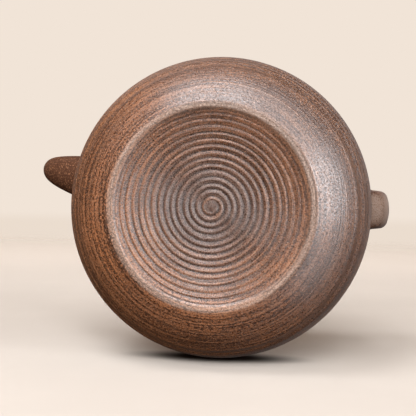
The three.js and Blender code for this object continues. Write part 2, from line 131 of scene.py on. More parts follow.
class HandleSizes(PropertyGroup):
    reach: length("Reach", "From the pot's axis to the outside of the loop", 0.0823)
    top: length("Top", "Height of the top of the loop", 0.099)
    width: length("Width", "Width of the strap", 0.0180)
    thickness: length("Thickness", "Thickness of the strap", 0.0075)
    corner: length("Corner", "Rounding of the strap's corners", 0.0026)
    crown: length("Crown", "How far the strap's outer face falls off to its sides", 0.0021)
    upper_root: length("Upper root", "From the pot's axis to the upper root", 0.053025)
    arch_start: length("Arch start", "Height at which the arch starts", 0.070)
    lower_root: length("Lower root", "Height of the lower root", 0.045)
    swell: FloatProperty(name="Swell", description="Section at the roots against the middle", default=1.08, min=1)
    flare: length("Flare", "How far the luted joints spread", 0.0014)


class LidSizes(PropertyGroup):
    seat: length("Seat", "Height of the lid's underside", 0.0863)
    radius: length("Radius", "Outside of the lid", 0.0346)
    edge: length("Edge", "Thickness of the lid's edge", 0.0042)
    rounding: length("Rounding", "Rounding of the edge", 0.0016)
    rise: length("Rise", "Rise of the dome above the edge", 0.0085)
    thickness: length("Thickness", "Thickness of the dome", 0.0046)
    flange_radius: length("Flange radius", "Outside of the ring under the lid", 0.0269)
    flange_bore: length("Flange bore", "Inside of the ring under the lid", 0.0231)
    flange_depth: length("Flange depth", "Height of the ring under the lid", 0.0065)
    vent_radius: length("Vent radius", "Radius of the vent hole", 0.0015)
    vent_reach: length("Vent reach", "From the lid's axis to the vent hole", 0.021)
    knob_radius: length("Knob radius", "Widest part of the knob", 0.010)
    knob_waist: length("Knob waist", "Narrowest part of the knob", 0.0056)
    knob_foot: length("Knob foot", "Foot of the knob", 0.0072)
    knob_rise: length("Knob rise", "Height of the waist", 0.0024)
    knob_height: length("Knob height", "Height of the knob's ball", 0.011)


class HingeSizes(PropertyGroup):
    reach: length("Pin reach", "From the pot's axis to the pin", 0.041)
    height: length("Pin height", "Height of the pin", 0.089)
    pin_radius: length("Pin radius", "Radius of the pin", 0.0015)
    clearance: length("Clearance", "Room round the pin", 0.00035)
    head_radius: length("Head radius", "Radius of the pin's head and cap", 0.003)
    head_height: length("Head height", "Height of the head's dome", 0.0015)
    inner_face: length("Inner face", "From the middle to an ear's inner face", 0.00535)
    outer_face: length("Outer face", "From the middle to an ear's outer face", 0.01135)
    ear_top: length("Ear top", "Rounding of an ear's top", 0.0046)
    ear_spread: length("Ear spread", "How far an ear's foot spreads", 0.0015)
    tongue_end: length("Tongue end", "Rounding of the tongue's end", 0.0044)
    tongue_half: length("Tongue half", "Half the tongue's width", 0.005)
    tongue_thickness: length("Tongue thickness", "Thickness of the strap on the lid", 0.0032)
    tongue_seat: length("Tongue seat", "Length of the strap on the lid", 0.009)


class ClayColours(PropertyGroup):
    warm: colour("Warm clay", "Orange-brown of the fired clay", (0.35, 0.13, 0.050))
    cool: colour("Cool clay", "Grey-violet of the clay where the flame passed", (0.112, 0.068, 0.055))
    # Also paints the shade on the recess, toward the girth and over the spout.
    shade: colour("Shaded clay", "Brown between the grains", (0.062, 0.025, 0.0135))
    # Also paints the shade in the groove troughs and in hollows.
    dark: colour("Dark grains", "Iron grains in the clay", (0.030, 0.0155, 0.0105))
    bright: colour("Bright grains", "Grains of grog that catch the light", (0.52, 0.25, 0.13))
    ash: colour("Ash grains", "Pale grains in the grey clay", (0.26, 0.17, 0.135))
    # Also paints the sheen along the handle's strap.
    rubbed: colour("Rubbed clay", "Clay that the table has rubbed pale", (0.46, 0.345, 0.285))
    inner: colour("Bare clay", "Clay that the flame did not reach", (0.33, 0.20, 0.135))
    brass: colour("Brass", "Aged brass of the hinge pin", (0.47, 0.32, 0.13))


class StudioSettings(PropertyGroup):
    room: colour("Room", "Tint of the light all round", (1.0, 0.62, 0.36))
    table: colour("Table", "Pale table", (0.60, 0.572, 0.545))
    far_table: colour("Far table", "Pale table far behind the pot", (0.83, 0.72, 0.62))
    floor: colour("Floor", "Pale floor under the standing pot", (0.60, 0.56, 0.52))
    wall: colour("Wall", "Pale wall behind the table", (0.88, 0.775, 0.68))
    key: power("Key", "Power of the light from the upper right", 19)
    window: power("Window", "Power of the light from above", 22)
    fill: power("Fill", "Power of the wide light in front of the foot", 101)
    haze: power("Haze", "Power of the faint sheen in the recess", 0.8)
    gleam: power("Gleam", "Power of each of the soft highlights on the flank", 28)
    top: power("Top", "Power of the light above the standing pot", 30)
    crown: power("Crown", "Power of the highlight on the standing pot", 2)
    ambient: FloatProperty(name="Ambient", description="Strength of the light all round", default=0.25, min=0)
    table_ambient: FloatProperty(name="From table", description="Strength of the light from the table's side", default=0.13, min=0)


GROUPS = {
    "thrown_body": ThrownBodySizes,
    "trimming_groove": GrooveSizes,
    "spout_sizes": SpoutSizes,
    "handle_sizes": HandleSizes,
    "lid_sizes": LidSizes,
    "hinge_sizes": HingeSizes,
    "clay_colours": ClayColours,
    "studio": StudioSettings,
}


def sizes(name):
    return getattr(bpy.context.scene, name)


def deselect():
    if bpy.context.mode != "OBJECT":
        bpy.ops.object.mode_set(mode="OBJECT")
    bpy.ops.object.select_all(action="DESELECT")


def pick(piece):
    """Makes a piece the only selected and active object."""
    deselect()
    piece.select_set(True)
    bpy.context.view_layer.objects.active = piece
    return piece


def edit(piece):
    pick(piece)
    bpy.ops.object.mode_set(mode="EDIT")
    bpy.ops.mesh.select_mode(type="VERT")
    bpy.ops.mesh.select_all(action="SELECT")


def leave_edit():
    bpy.ops.object.mode_set(mode="OBJECT")


def name_piece(piece, name):
    piece.name = name
    piece.data.name = name
    return piece


def positions(piece):
    flat = np.empty(len(piece.data.vertices) * 3)
    piece.data.vertices.foreach_get("co", flat)
    return flat.reshape(-1, 3)


def move_to(piece, spots):
    piece.data.vertices.foreach_set("co", spots.ravel())
    piece.data.update()


def write_attribute(piece, name, kind, values):
    key = "value" if kind == "FLOAT" else "vector"
    attribute = piece.data.attributes.new(name, kind, "POINT")
    attribute.data.foreach_set(key, np.asarray(values, dtype=np.float32).ravel())


def start_line(first):
    """Adds a plane, merges it to one point and moves that point to the start of a line."""
    deselect()
    bpy.ops.mesh.primitive_plane_add(size=0.01, location=(0, 0, 0))
    piece = bpy.context.object
    edit(piece)
    bpy.ops.mesh.merge(type="CENTER")
    bpy.ops.transform.translate(value=first)
    return piece


def draw_line(points):
    """Extrudes a line of points one after the other, and stays in edit mode."""
    points = [Vector(point) for point in points]
    piece = start_line(points[0])
    for here, there in zip(points, points[1:]):
        bpy.ops.mesh.extrude_vertices_move(TRANSFORM_OT_translate={"value": there - here})
    bpy.ops.mesh.select_all(action="SELECT")
    return piece


def turn(name, profile, steps, centre=(0, 0, 0), axis=(0, 0, 1)):
    """Draws a (radius, height) section beside an axis through the centre and spins it into a closed skin."""
    centre = Vector(centre)
    across = Vector((1, 0, 0))
    up = Vector(axis)
    piece = draw_line([centre + across * r + up * h for r, h in profile])
    bpy.ops.mesh.spin(steps=steps, angle=FULL_TURN, center=centre, axis=up)
    bpy.ops.mesh.select_all(action="SELECT")
    bpy.ops.mesh.remove_doubles(threshold=2e-6)
    bpy.ops.mesh.normals_make_consistent(inside=False)
    leave_edit()
    return name_piece(piece, name)


def sweep(name, section, stations):
    """Extrudes a closed (across, outward) section from station to station in the XZ plane.
    A station is its centre, the slope of the path there and the section's scale."""
    centre, slope, scale = stations[0]
    deselect()
    bpy.ops.mesh.primitive_circle_add(vertices=len(section), radius=0.01, location=(0, 0, 0))
    piece = bpy.context.object
    move_to(piece, np.array([(-outward, across, 0) for across, outward in section]))
    edit(piece)
    bpy.ops.mesh.edge_face_add()
    bpy.ops.transform.resize(value=(scale,) * 3, center_override=(0, 0, 0))
    bpy.ops.transform.rotate(value=slope - math.pi / 2, orient_axis="Y", center_override=(0, 0, 0))
    bpy.ops.transform.translate(value=centre)
    for (here, before, size), (there, after, grown) in zip(stations, stations[1:]):
        bpy.ops.mesh.extrude_region_move(TRANSFORM_OT_translate={"value": there - here})
        bpy.ops.transform.rotate(value=after - before, orient_axis="Y", center_override=there)
        bpy.ops.transform.resize(value=(grown / size,) * 3, center_override=there)
    bpy.ops.mesh.select_all(action="SELECT")
    bpy.ops.mesh.normals_make_consistent(inside=False)
    leave_edit()
    return name_piece(piece, name)


def plate(name, outline, near, far):
    """Draws a flat (reach, height) outline, fills it and extrudes it from one Y to another."""
    piece = draw_line([(r, near, z) for r, z in outline])
    bpy.ops.mesh.edge_face_add()
    bpy.ops.mesh.extrude_region_move(TRANSFORM_OT_translate={"value": (0, far - near, 0)})
    bpy.ops.mesh.select_all(action="SELECT")
    bpy.ops.mesh.normals_make_consistent(inside=False)
    leave_edit()
    return name_piece(piece, name)


def add_modifier(piece, kind, **values):
    pick(piece)
    bpy.ops.object.modifier_add(type=kind)
    modifier = piece.modifiers[-1]
    for key, value in values.items():
        setattr(modifier, key, value)
    bpy.ops.object.modifier_apply(modifier=modifier.name)


def cut(piece, cutter, operation="DIFFERENCE"):
    add_modifier(piece, "BOOLEAN", object=cutter, operation=operation, solver="EXACT")
    bpy.data.objects.remove(cutter)


def drill(piece, radius, centre, along, depth, sides=32):
    """Cuts a round hole through a piece."""
    deselect()
    turned = Vector((0, 0, 1)).rotation_difference(Vector(along)).to_euler()
    bpy.ops.mesh.primitive_cylinder_add(
        vertices=sides, radius=radius, depth=depth, location=centre, rotation=turned
    )
    cut(piece, bpy.context.object)


def carry_to_axis(piece, angle=0):
    """Turns a piece about the pot's axis from the X line, and applies its place to its mesh."""
    pick(piece)
    piece.matrix_world = Matrix.Translation((POT_AXIS, 0, 0)) @ Matrix.Rotation(angle, 4, "Z")
    bpy.ops.object.transform_apply(location=True, rotation=True, scale=True)


def mark_relief(piece, tightest):
    """Leaves on the mesh how sharply it bulges (up to 1) or sinks in (down to -1) at each point."""
    mesh = piece.data
    spots = positions(piece)
    normals = np.empty(len(mesh.vertices) * 3)
    mesh.vertices.foreach_get("normal", normals)
    ends = np.empty(len(mesh.edges) * 2, dtype=np.int64)
    mesh.edges.foreach_get("vertices", ends)
    a, b = ends.reshape(-1, 2).T
    span = spots[b] - spots[a]
    squares = np.maximum((span**2).sum(axis=1), 1e-12)
    bend = np.zeros(len(spots))
    weight = np.zeros(len(spots))
    turned_normals = normals.reshape(-1, 3)
    for here, way in ((a, span), (b, -span)):
        np.add.at(bend, here, -2 * (way * turned_normals[here]).sum(axis=1) / np.sqrt(squares))
        np.add.at(weight, here, np.sqrt(squares))
    write_attribute(piece, "relief", "FLOAT", np.clip(bend / np.maximum(weight, 1e-9) * tightest, -1, 1))


def finish_piece(piece, body, nodes, material, angle=40, tightest=0.0011):
    """Smooths a piece, gives it its material and sets it in the frame."""
    mark_relief(piece, tightest)
    pick(piece)
    bpy.ops.object.shade_smooth_by_angle(angle=math.radians(angle))
    piece.data.materials.clear()
    piece.data.materials.append(material)
    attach(piece, body)
    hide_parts(*nodes)


def arc(centre, radii, start, end, steps):
    """Points of an elliptic arc, angles in degrees, both ends included."""
    spots = []
    for i in range(steps + 1):
        angle = math.radians(start + (end - start) * i / steps)
        spots.append((centre[0] + radii[0] * math.cos(angle), centre[1] + radii[1] * math.sin(angle)))
    return spots


def bezier(points, share):
    a, b, c, d = (Vector(point) for point in points)
    rest = 1 - share
    spot = a * rest**3 + b * 3 * rest**2 * share + c * 3 * rest * share**2 + d * share**3
    pull = (b - a) * 3 * rest**2 + (c - b) * 6 * rest * share + (d - c) * 3 * share**2
    return spot, pull


def path_stations(curves, count, scale_at):
    """Evenly spaced stations along joined Bezier curves in the (reach, height) plane."""
    fine = [bezier(points, i / 200) for points in curves for i in range(201)]
    travelled = [0.0]
    for (here, _), (there, _) in zip(fine, fine[1:]):
        travelled.append(travelled[-1] + (there - here).length)
    stations = []
    slope = None
    for i in range(count + 1):
        goal = travelled[-1] * i / count
        spot_x = np.interp(goal, travelled, [spot.x for spot, _ in fine])
        spot_y = np.interp(goal, travelled, [spot.y for spot, _ in fine])
        pull_x = np.interp(goal, travelled, [pull.normalized().x for _, pull in fine])
        pull_y = np.interp(goal, travelled, [pull.normalized().y for _, pull in fine])
        angle = math.atan2(pull_y, pull_x)
        if slope is not None:
            while angle - slope > math.pi:
                angle -= FULL_TURN
            while angle - slope < -math.pi:
                angle += FULL_TURN
        slope = angle
        stations.append((Vector((spot_x, 0, spot_y)), slope, scale_at(i / count)))
    return stations


def wall_distance(spots):
    """Distance of points from the outside of the thrown wall, above its girth, axis at X = 0."""
    body = sizes("thrown_body")
    width = body.girth_radius - body.neck_radius
    height = body.shoulder_height - body.girth_height
    reach = np.hypot(spots[:, 0], spots[:, 1])
    across = (reach - body.neck_radius) / width
    rise = np.maximum(spots[:, 2] - body.girth_height, 0) / height
    share = np.sqrt(across**2 + rise**2)
    slope = np.hypot(across / width, rise / height) / np.maximum(share, 1e-6)
    return (share - 1) / np.maximum(slope, 1e-6)


def flank_line(body, steps, depth=0):
    """Outside of the body from the foot up to the girth, sunk in the clay by a depth."""
    share = (body.foot_radius - body.girth_radius + body.flank_reach) / body.flank_reach
    height = body.girth_height / math.sqrt(1 - share**2)
    centre = (body.girth_radius - body.flank_reach, body.girth_height)
    return arc(centre, (body.flank_reach - depth, height - depth), math.degrees(math.asin(share)) - 90, 0, steps)


def cut_to_body(piece, depth):
    """Cuts a luted piece to the shape of the wall, sunk in it by a depth."""
    body = sizes("thrown_body")
    flank = flank_line(body, 20, depth)
    shoulder = arc(
        (body.neck_radius - depth, body.girth_height),
        (body.girth_radius - body.neck_radius, body.shoulder_height - depth - body.girth_height),
        0,
        90,
        36,
    )
    top = body.shoulder_height + body.neck_height
    skin = turn(
        "wall cutter",
        [(0, depth), *flank, *shoulder[1:], (body.neck_radius - depth, top), (0, top)],
        144,
    )
    cut(piece, skin)


def flare_joint(piece, amount, width, centre_of):
    """Spreads the surface of a luted piece where it comes near the wall."""
    spots = positions(piece)
    distance = np.clip(wall_distance(spots), 0, width)
    push = amount * (1 - distance / width) ** 2.6
    away = spots - centre_of(spots)
    away /= np.maximum(np.linalg.norm(away, axis=1, keepdims=True), 1e-6)
    move_to(piece, spots + away * push[:, None])


def noise_rows(values, seed, roughness=0.5):
    """Smooth random wave over numbers, the same on every run."""
    rng = np.random.default_rng(seed)
    total = np.zeros_like(values)
    size = 1.0
    for octave in range(4):
        phase = rng.uniform(0, FULL_TURN, 5)
        rate = rng.uniform(0.6, 1.4, 5) * 2**octave
        total += size * sum(np.sin(values * r + p) for r, p in zip(rate, phase)) / 5
        size *= roughness
    return total


def body_profile(body):
    """Section of the body from the middle of the recess round to the middle of its floor inside."""
    girth, shoulder, neck = body.girth_radius, body.shoulder_height, body.neck_radius
    rim = shoulder + body.neck_height
    mouth = neck - body.neck_wall
    recess = body.foot_radius - body.foot_width - body.foot_edge_width
    edge = body.foot_edge_rise
    steps = 178
    under = []
    for i in range(steps + 1):
        r = recess * i / steps
        under.append((r, edge + (body.recess_depth - edge) * (1 - (r / recess) ** 3)))
    roll = [(recess + body.foot_edge_width * s, edge * (1 - s) ** 2) for s in (0.3, 0.6, 0.85)]
    foot = [(body.foot_radius - body.foot_width * s, 0) for s in (1, 0.75, 0.5)]
    flank = flank_line(body, 48)
    soft = body.foot_width * 0.3
    start = (body.foot_radius - soft, 0)
    foot += [start, *quadratic(start, flank[0], flank[1], 5)]
    rise = shoulder - body.girth_height
    side = arc((neck, body.girth_height), (girth - neck, rise), 0, 84, 30)[1:]
    fillet = [(neck + 0.0016, shoulder + 0.00005), (neck + 0.0005, shoulder + 0.0005), (neck, shoulder + 0.0016)]
    lip = 0.0013
    outer_rim = arc((neck - lip, rim - lip), (lip, lip), 0, 90, 5)
    inner_rim = arc((mouth + lip, rim - lip), (lip, lip), 90, 180, 5)
    throat = 0.0025
    under_throat = shoulder - body.wall
    throat_arc = arc((mouth + throat, under_throat + throat), (throat, throat), 180, 270, 4)
    inside = arc(
        (mouth + throat, body.girth_height),
        (girth - body.wall - mouth - throat, under_throat - body.girth_height),
        90,
        0,
        22,
    )[1:]
    floor = body.recess_depth + body.floor
    inner_floor = body.floor_radius
    low = arc(
        (inner_floor, body.girth_height),
        (girth - body.wall - inner_floor, body.girth_height - floor),
        0,
        -90,
        14,
    )[1:]
    middle = [(inner_floor * s, floor) for s in (0.85, 0.7, 0.55, 0.4, 0.25, 0.12, 0)]
    return [*under, *roll, *foot, *flank[2:], *side, *fillet, *outer_rim, *inner_rim, *throat_arc, *inside, *low, *middle]


def trim_recess(piece):
    """Sinks the spiral groove into the recess and leaves its course on the mesh for the material."""
    body = sizes("thrown_body")
    groove = sizes("trimming_groove")
    recess = body.foot_radius - body.foot_width - body.foot_edge_width
    depth = body.recess_depth - body.foot_edge_rise
    radii = np.linspace(0, recess * 1.1, 900)
    slope = 3 * depth * radii**2 / recess**3
    gone = np.concatenate([[0], np.cumsum(np.hypot(1, (slope[1:] + slope[:-1]) / 2) * np.diff(radii))])
    spots = positions(piece)
    reach = np.hypot(spots[:, 0], spots[:, 1])
    angle = np.arctan2(spots[:, 1], spots[:, 0]) % FULL_TURN
    share = angle / FULL_TURN
    along = np.interp(reach, radii, gone)
    lead = math.sin(FULL_TURN * groove.lead)
    tool = share + groove.dwell * (np.sin(FULL_TURN * (share - groove.lead)) + lead)
    course = along / groove.pitch - tool
    edge = np.interp(recess, radii, gone)
    under = (spots[:, 2] < body.recess_depth + 0.001) & (reach < recess * 1.02)
    turns = along / groove.pitch
    start = np.clip((turns - 0.45) / 0.9, 0, 1)
    strength = np.clip((edge - along) / groove.fade, 0, 1) * start * start * (3 - 2 * start)
    outer = np.clip((along - edge * 0.72) / (edge * 0.2), 0, 1)
    facing = (0.5 + 0.5 * np.cos(angle + math.radians(18))) ** 2
    quiet = 1 - outer * (0.05 + 0.5 * facing)
    hand = 1 + 0.34 * noise_rows(turns * 1.9 + np.cos(angle) * 0.4, 7)
    course = course + 0.09 * noise_rows(turns * 1.3, 21) * np.clip(turns - 1, 0, 1)
    wave = 0.5 + 0.5 * np.cos(FULL_TURN * course)
    doubled = 0.5 + 0.5 * np.cos(FULL_TURN * (course * 2 + 0.3))
    share_doubled = np.clip(0.16 + 0.3 * noise_rows(turns * 1.1 + 4, 9) + 0.22 * outer, 0.04, 0.5)
    fine = np.cos(FULL_TURN * course * 3 + 0.8) * (1 - wave)
    shape = (1 - share_doubled) * wave**1.35 + share_doubled * doubled + 0.1 * fine - 0.1
    sink = np.where(under, groove.depth * strength * quiet * hand * shape, 0)
    button = np.where(under, np.exp(-((along / (groove.pitch * 0.42)) ** 2)), 0)
    sink -= 0.00028 * button
    strength = np.where(under, strength * quiet, 0)
    spots[:, 2] += sink
    move_to(piece, spots)
    write_attribute(
        piece,
        "tool_path",
        "FLOAT_VECTOR",
        np.stack([np.cos(FULL_TURN * course), np.sin(FULL_TURN * course), strength], axis=1),
    )
    # Warm-cool tint: cool in the middle of the recess and its button, warm in a ring round it; on the flank cooler and
    # greyer toward the upper right, where the highlights fall, and warmer toward the lower left and the girth.
    centre = np.exp(-((along / 0.026) ** 2))
    low = 0.5 + 0.5 * np.sin(angle)
    ring = np.exp(-(((along - 0.0042) / 0.0016) ** 2))
    tint = 0.9 - 1.2 * centre + 0.75 * ring - 0.35 * button - 0.2 * low * (1 - centre)
    out = np.clip((reach / body.girth_radius - 0.7) / 0.22, 0, 1)
    flank = 0.2 + 0.75 * (0.5 + 0.5 * np.cos(angle - math.radians(145))) + 0.4 * out * out
    tint = np.where(under, tint, flank)
    write_attribute(piece, "warm_cool_tint", "FLOAT", tint)
    # Painted shade: darker clay in the middle and on the right of the recess, toward the girth, a little toward the
    # top, and under the highlights on the upper right of the flank.
    lit = 0.5 + 0.5 * np.cos(angle + math.radians(50))
    dim = 0.5 + 0.5 * np.cos(angle - math.radians(90))
    shade = 0.1 * (1 - dim) + 0.62 * out * out * (3 - 2 * out) * (1 - 0.3 * lit) + 0.4 * lit * lit
    right = 0.5 + 0.5 * np.cos(angle + math.radians(25))
    write_attribute(piece, "painted_shade", "FLOAT", np.where(under, 0.12 + 0.25 * centre + 0.4 * right * right, shade))
    middle = reach - body.foot_radius + body.foot_width * 0.65
    wear_and_sheen = np.exp(-((middle / np.where(middle > 0, 0.0011, 0.0017)) ** 2))
    write_attribute(piece, "foot_wear", "FLOAT", np.where(spots[:, 2] < 0.003, wear_and_sheen, 0))


def throw_wall(piece):
    """Leaves the potter's finger marks inside the wall, and a faint swell on the outside."""
    body = sizes("thrown_body")
    spots = positions(piece)
    reach = np.hypot(spots[:, 0], spots[:, 1])
    share = (np.arctan2(spots[:, 1], spots[:, 0]) % FULL_TURN) / FULL_TURN
    outward = spots[:, :2] / np.maximum(reach, 1e-6)[:, None]
    depth = wall_distance(spots)
    mouth = body.neck_radius - body.neck_wall
    inside = (depth < -body.wall * 0.6) & (reach > mouth + 0.003) & (spots[:, 2] > body.recess_depth + body.floor + 0.002)
    marks = body.throwing_depth * np.sin(FULL_TURN * (spots[:, 2] / body.throwing_pitch - share))
    outside = (np.abs(depth) < 0.0004) & (spots[:, 2] > body.girth_height * 0.5) & (reach > body.neck_radius + 0.002)
    swell = 0.00006 * noise_rows(spots[:, 2] / 0.0016 + share * 0, 3)
    push = np.where(inside, marks, 0) + np.where(outside, swell, 0)
    spots[:, :2] += outward * push[:, None]
    move_to(piece, spots)


def link(tree, value, socket):
    if isinstance(value, bpy.types.NodeSocket):
        tree.links.new(value, socket)
    else:
        socket.default_value = value


def add_node(tree, kind, inputs=None, **settings):
    """Adds a node, sets it and feeds its inputs with values or with other nodes' sockets."""
    made = tree.nodes.new(kind)
    for key, value in settings.items():
        setattr(made, key, value)
    for key, value in (inputs or {}).items():
        link(tree, value, made.inputs[key])
    return made


def math_node(tree, operation, *values, clamp=False):
    made = add_node(tree, "ShaderNodeMath", operation=operation, use_clamp=clamp)
    for socket, value in zip(made.inputs, values):
        link(tree, value, socket)
    return made.outputs[0]


def ramp(tree, value, low, high, out_low=0.0, out_high=1.0):
    made = add_node(
        tree,
        "ShaderNodeMapRange",
        {"Value": value, "From Min": low, "From Max": high, "To Min": out_low, "To Max": out_high},
        interpolation_type="SMOOTHSTEP",
    )
    return made.outputs["Result"]


def mix_colour(tree, share, first, second, blend="MIX"):
    made = add_node(tree, "ShaderNodeMix", data_type="RGBA", blend_type=blend)
    for socket, value in zip((made.inputs[0], made.inputs[6], made.inputs[7]), (share, first, second)):
        if not isinstance(value, bpy.types.NodeSocket) and socket.type == "RGBA":
            value = (*value[:3], 1)
        link(tree, value, socket)
    return made.outputs[2]


def new_group(name, inputs, outputs):
    """Makes an empty shader group. Inputs are (name, kind, default) and outputs (name, kind)."""
    tree = bpy.data.node_groups.new(name, "ShaderNodeTree")
    for label, kind, default in inputs:
        socket = tree.interface.new_socket(name=label, in_out="INPUT", socket_type=kind)
        if default is not None:
            socket.default_value = default
    for label, kind in outputs:
        tree.interface.new_socket(name=label, in_out="OUTPUT", socket_type=kind)
    return tree, tree.nodes.new("NodeGroupInput").outputs, tree.nodes.new("NodeGroupOutput").inputs


def use_group(tree, name, inputs):
    made = add_node(tree, "ShaderNodeGroup", node_tree=bpy.data.node_groups[name])
    for key, value in inputs.items():
        link(tree, value, made.inputs[key])
    return made.outputs


def noise(tree, vector, scale, detail=2.0, roughness=0.6, shift=None, **settings):
    if shift:
        vector = add_node(tree, "ShaderNodeVectorMath", {0: vector, 1: shift}, operation="ADD").outputs[0]
    inputs = {"Vector": vector, "Scale": scale, "Detail": detail, "Roughness": roughness}
    return add_node(tree, "ShaderNodeTexNoise", inputs, **settings).outputs["Fac"]


def build_grain():
    """Grains of iron and grog, a fraction of a millimetre across, and the mottle between them."""
    tree, given, wanted = new_group(
        "Clay Grain",
        [
            ("Vector", "NodeSocketVector", None),
            ("Fineness", "NodeSocketFloat", 1500.0),
            ("Iron", "NodeSocketFloat", 0.5),
            ("Grog", "NodeSocketFloat", 0.5),
        ],
        [
            ("Iron Grains", "NodeSocketFloat"),
            ("Grog Grains", "NodeSocketFloat"),
            ("Mottle", "NodeSocketFloat"),
            ("Tooth", "NodeSocketFloat"),
        ],
    )
    fineness = given["Fineness"]
    link(tree, noise(tree, given["Vector"], math_node(tree, "MULTIPLY", fineness, 1.2), 2.0, 0.6), wanted["Tooth"])
    link(tree, noise(tree, given["Vector"], math_node(tree, "MULTIPLY", fineness, 0.8), 1.0, 0.5, (0.9, 0.4, 0.2)), wanted["Mottle"])
    for label, amount, shift in (("Iron Grains", "Iron", (0.37, 0.11, 0.53)), ("Grog Grains", "Grog", (0.71, 0.29, 0.17))):
        spots = noise(tree, given["Vector"], fineness, 2.0, 0.6, shift)
        start = math_node(tree, "SUBTRACT", 0.70, math_node(tree, "MULTIPLY", given[amount], 0.26))
        link(tree, ramp(tree, spots, start, math_node(tree, "ADD", start, 0.13)), wanted[label])


def build_turning():
    """Fine lines that a tool or finger leaves round the pot's own axis."""
    tree, given, wanted = new_group(
        "Turning Lines",
        [
            ("Vector", "NodeSocketVector", None),
            ("Spacing", "NodeSocketFloat", 0.0011),
            ("Waver", "NodeSocketFloat", 1.0),
        ],
        [("Lines", "NodeSocketFloat"), ("Fine Lines", "NodeSocketFloat")],
    )
    split = add_node(tree, "ShaderNodeSeparateXYZ", {0: given["Vector"]}).outputs
    reach = math_node(
        tree,
        "SQRT",
        math_node(tree, "ADD", math_node(tree, "POWER", split[0], 2.0), math_node(tree, "POWER", split[1], 2.0)),
    )
    safe = math_node(tree, "MAXIMUM", reach, 0.0005)
    across = math_node(tree, "MULTIPLY", math_node(tree, "DIVIDE", split[0], safe), given["Waver"])
    back = math_node(tree, "MULTIPLY", math_node(tree, "DIVIDE", split[1], safe), given["Waver"])
    rings = math_node(tree, "DIVIDE", reach, given["Spacing"])
    rows = math_node(tree, "DIVIDE", split[2], given["Spacing"])
    for label, rate, detail in (("Lines", 1.0, 1.0), ("Fine Lines", 2.7, 2.0)):
        course = add_node(
            tree,
            "ShaderNodeCombineXYZ",
            {"X": math_node(tree, "MULTIPLY", rings, rate), "Y": math_node(tree, "MULTIPLY", rows, rate), "Z": across},
        ).outputs[0]
        lines = add_node(
            tree,
            "ShaderNodeTexNoise",
            {"Vector": course, "W": back, "Scale": 1.0, "Detail": detail, "Roughness": 0.55},
            noise_dimensions="4D",
        ).outputs["Fac"]
        link(tree, lines, wanted[label])


def build_patches():
    """Large soft patches where the flame passed the clay, and small clouds."""
    tree, given, wanted = new_group(
        "Flame Patches",
        [("Vector", "NodeSocketVector", None), ("Size", "NodeSocketFloat", 0.03)],
        [("Broad", "NodeSocketFloat"), ("Cloud", "NodeSocketFloat")],
    )
    scale = math_node(tree, "DIVIDE", 1.0, given["Size"])
    link(tree, noise(tree, given["Vector"], scale, 3.0, 0.55), wanted["Broad"])
    link(tree, noise(tree, given["Vector"], math_node(tree, "MULTIPLY", scale, 7.0), 4.0, 0.6), wanted["Cloud"])


def build_tool_path():
    """Painted shade in the troughs, a painted highlight along the ridges, and the thin drag lines along the trimming
    spiral.
    """
    tree, _, wanted = new_group(
        "Tool Path",
        [],
        [("Trough", "NodeSocketFloat"), ("Crest", "NodeSocketFloat"), ("Drag", "NodeSocketFloat"), ("Reach", "NodeSocketFloat")],
    )
    course = add_node(tree, "ShaderNodeAttribute", attribute_name="tool_path").outputs["Vector"]
    split = add_node(tree, "ShaderNodeSeparateXYZ", {0: course}).outputs
    phase = math_node(tree, "ABSOLUTE", math_node(tree, "DIVIDE", math_node(tree, "ARCTAN2", split[1], split[0]), math.pi))
    link(tree, math_node(tree, "MULTIPLY", ramp(tree, phase, 0.36, 0.0), split[2]), wanted["Trough"])
    link(tree, math_node(tree, "MULTIPLY", ramp(tree, phase, 0.66, 0.95), split[2]), wanted["Crest"])
    stretched = add_node(tree, "ShaderNodeVectorMath", {0: course, 1: (2.6, 2.6, 0.0)}, operation="MULTIPLY").outputs[0]
    drag = add_node(tree, "ShaderNodeTexNoise", {"Vector": stretched, "Scale": 1.0, "Detail": 3.0, "Roughness": 0.75})
    link(tree, math_node(tree, "MULTIPLY", drag.outputs["Fac"], ramp(tree, split[2], 0.0, 0.4)), wanted["Drag"])
    link(tree, split[2], wanted["Reach"])


def new_material(name):
    material = bpy.data.materials.new(name)
    material.use_nodes = True
    tree = material.node_tree
    shader = tree.nodes["Principled BSDF"]
    return material, tree, shader


def object_vector(tree, centre=(0, 0, 0)):
    """Object coordinates measured from a centre."""
    coordinates = add_node(tree, "ShaderNodeTexCoord").outputs["Object"]
    moved = add_node(tree, "ShaderNodeMapping", {"Vector": coordinates, "Location": tuple(-c for c in centre)})
    return moved.outputs["Vector"]


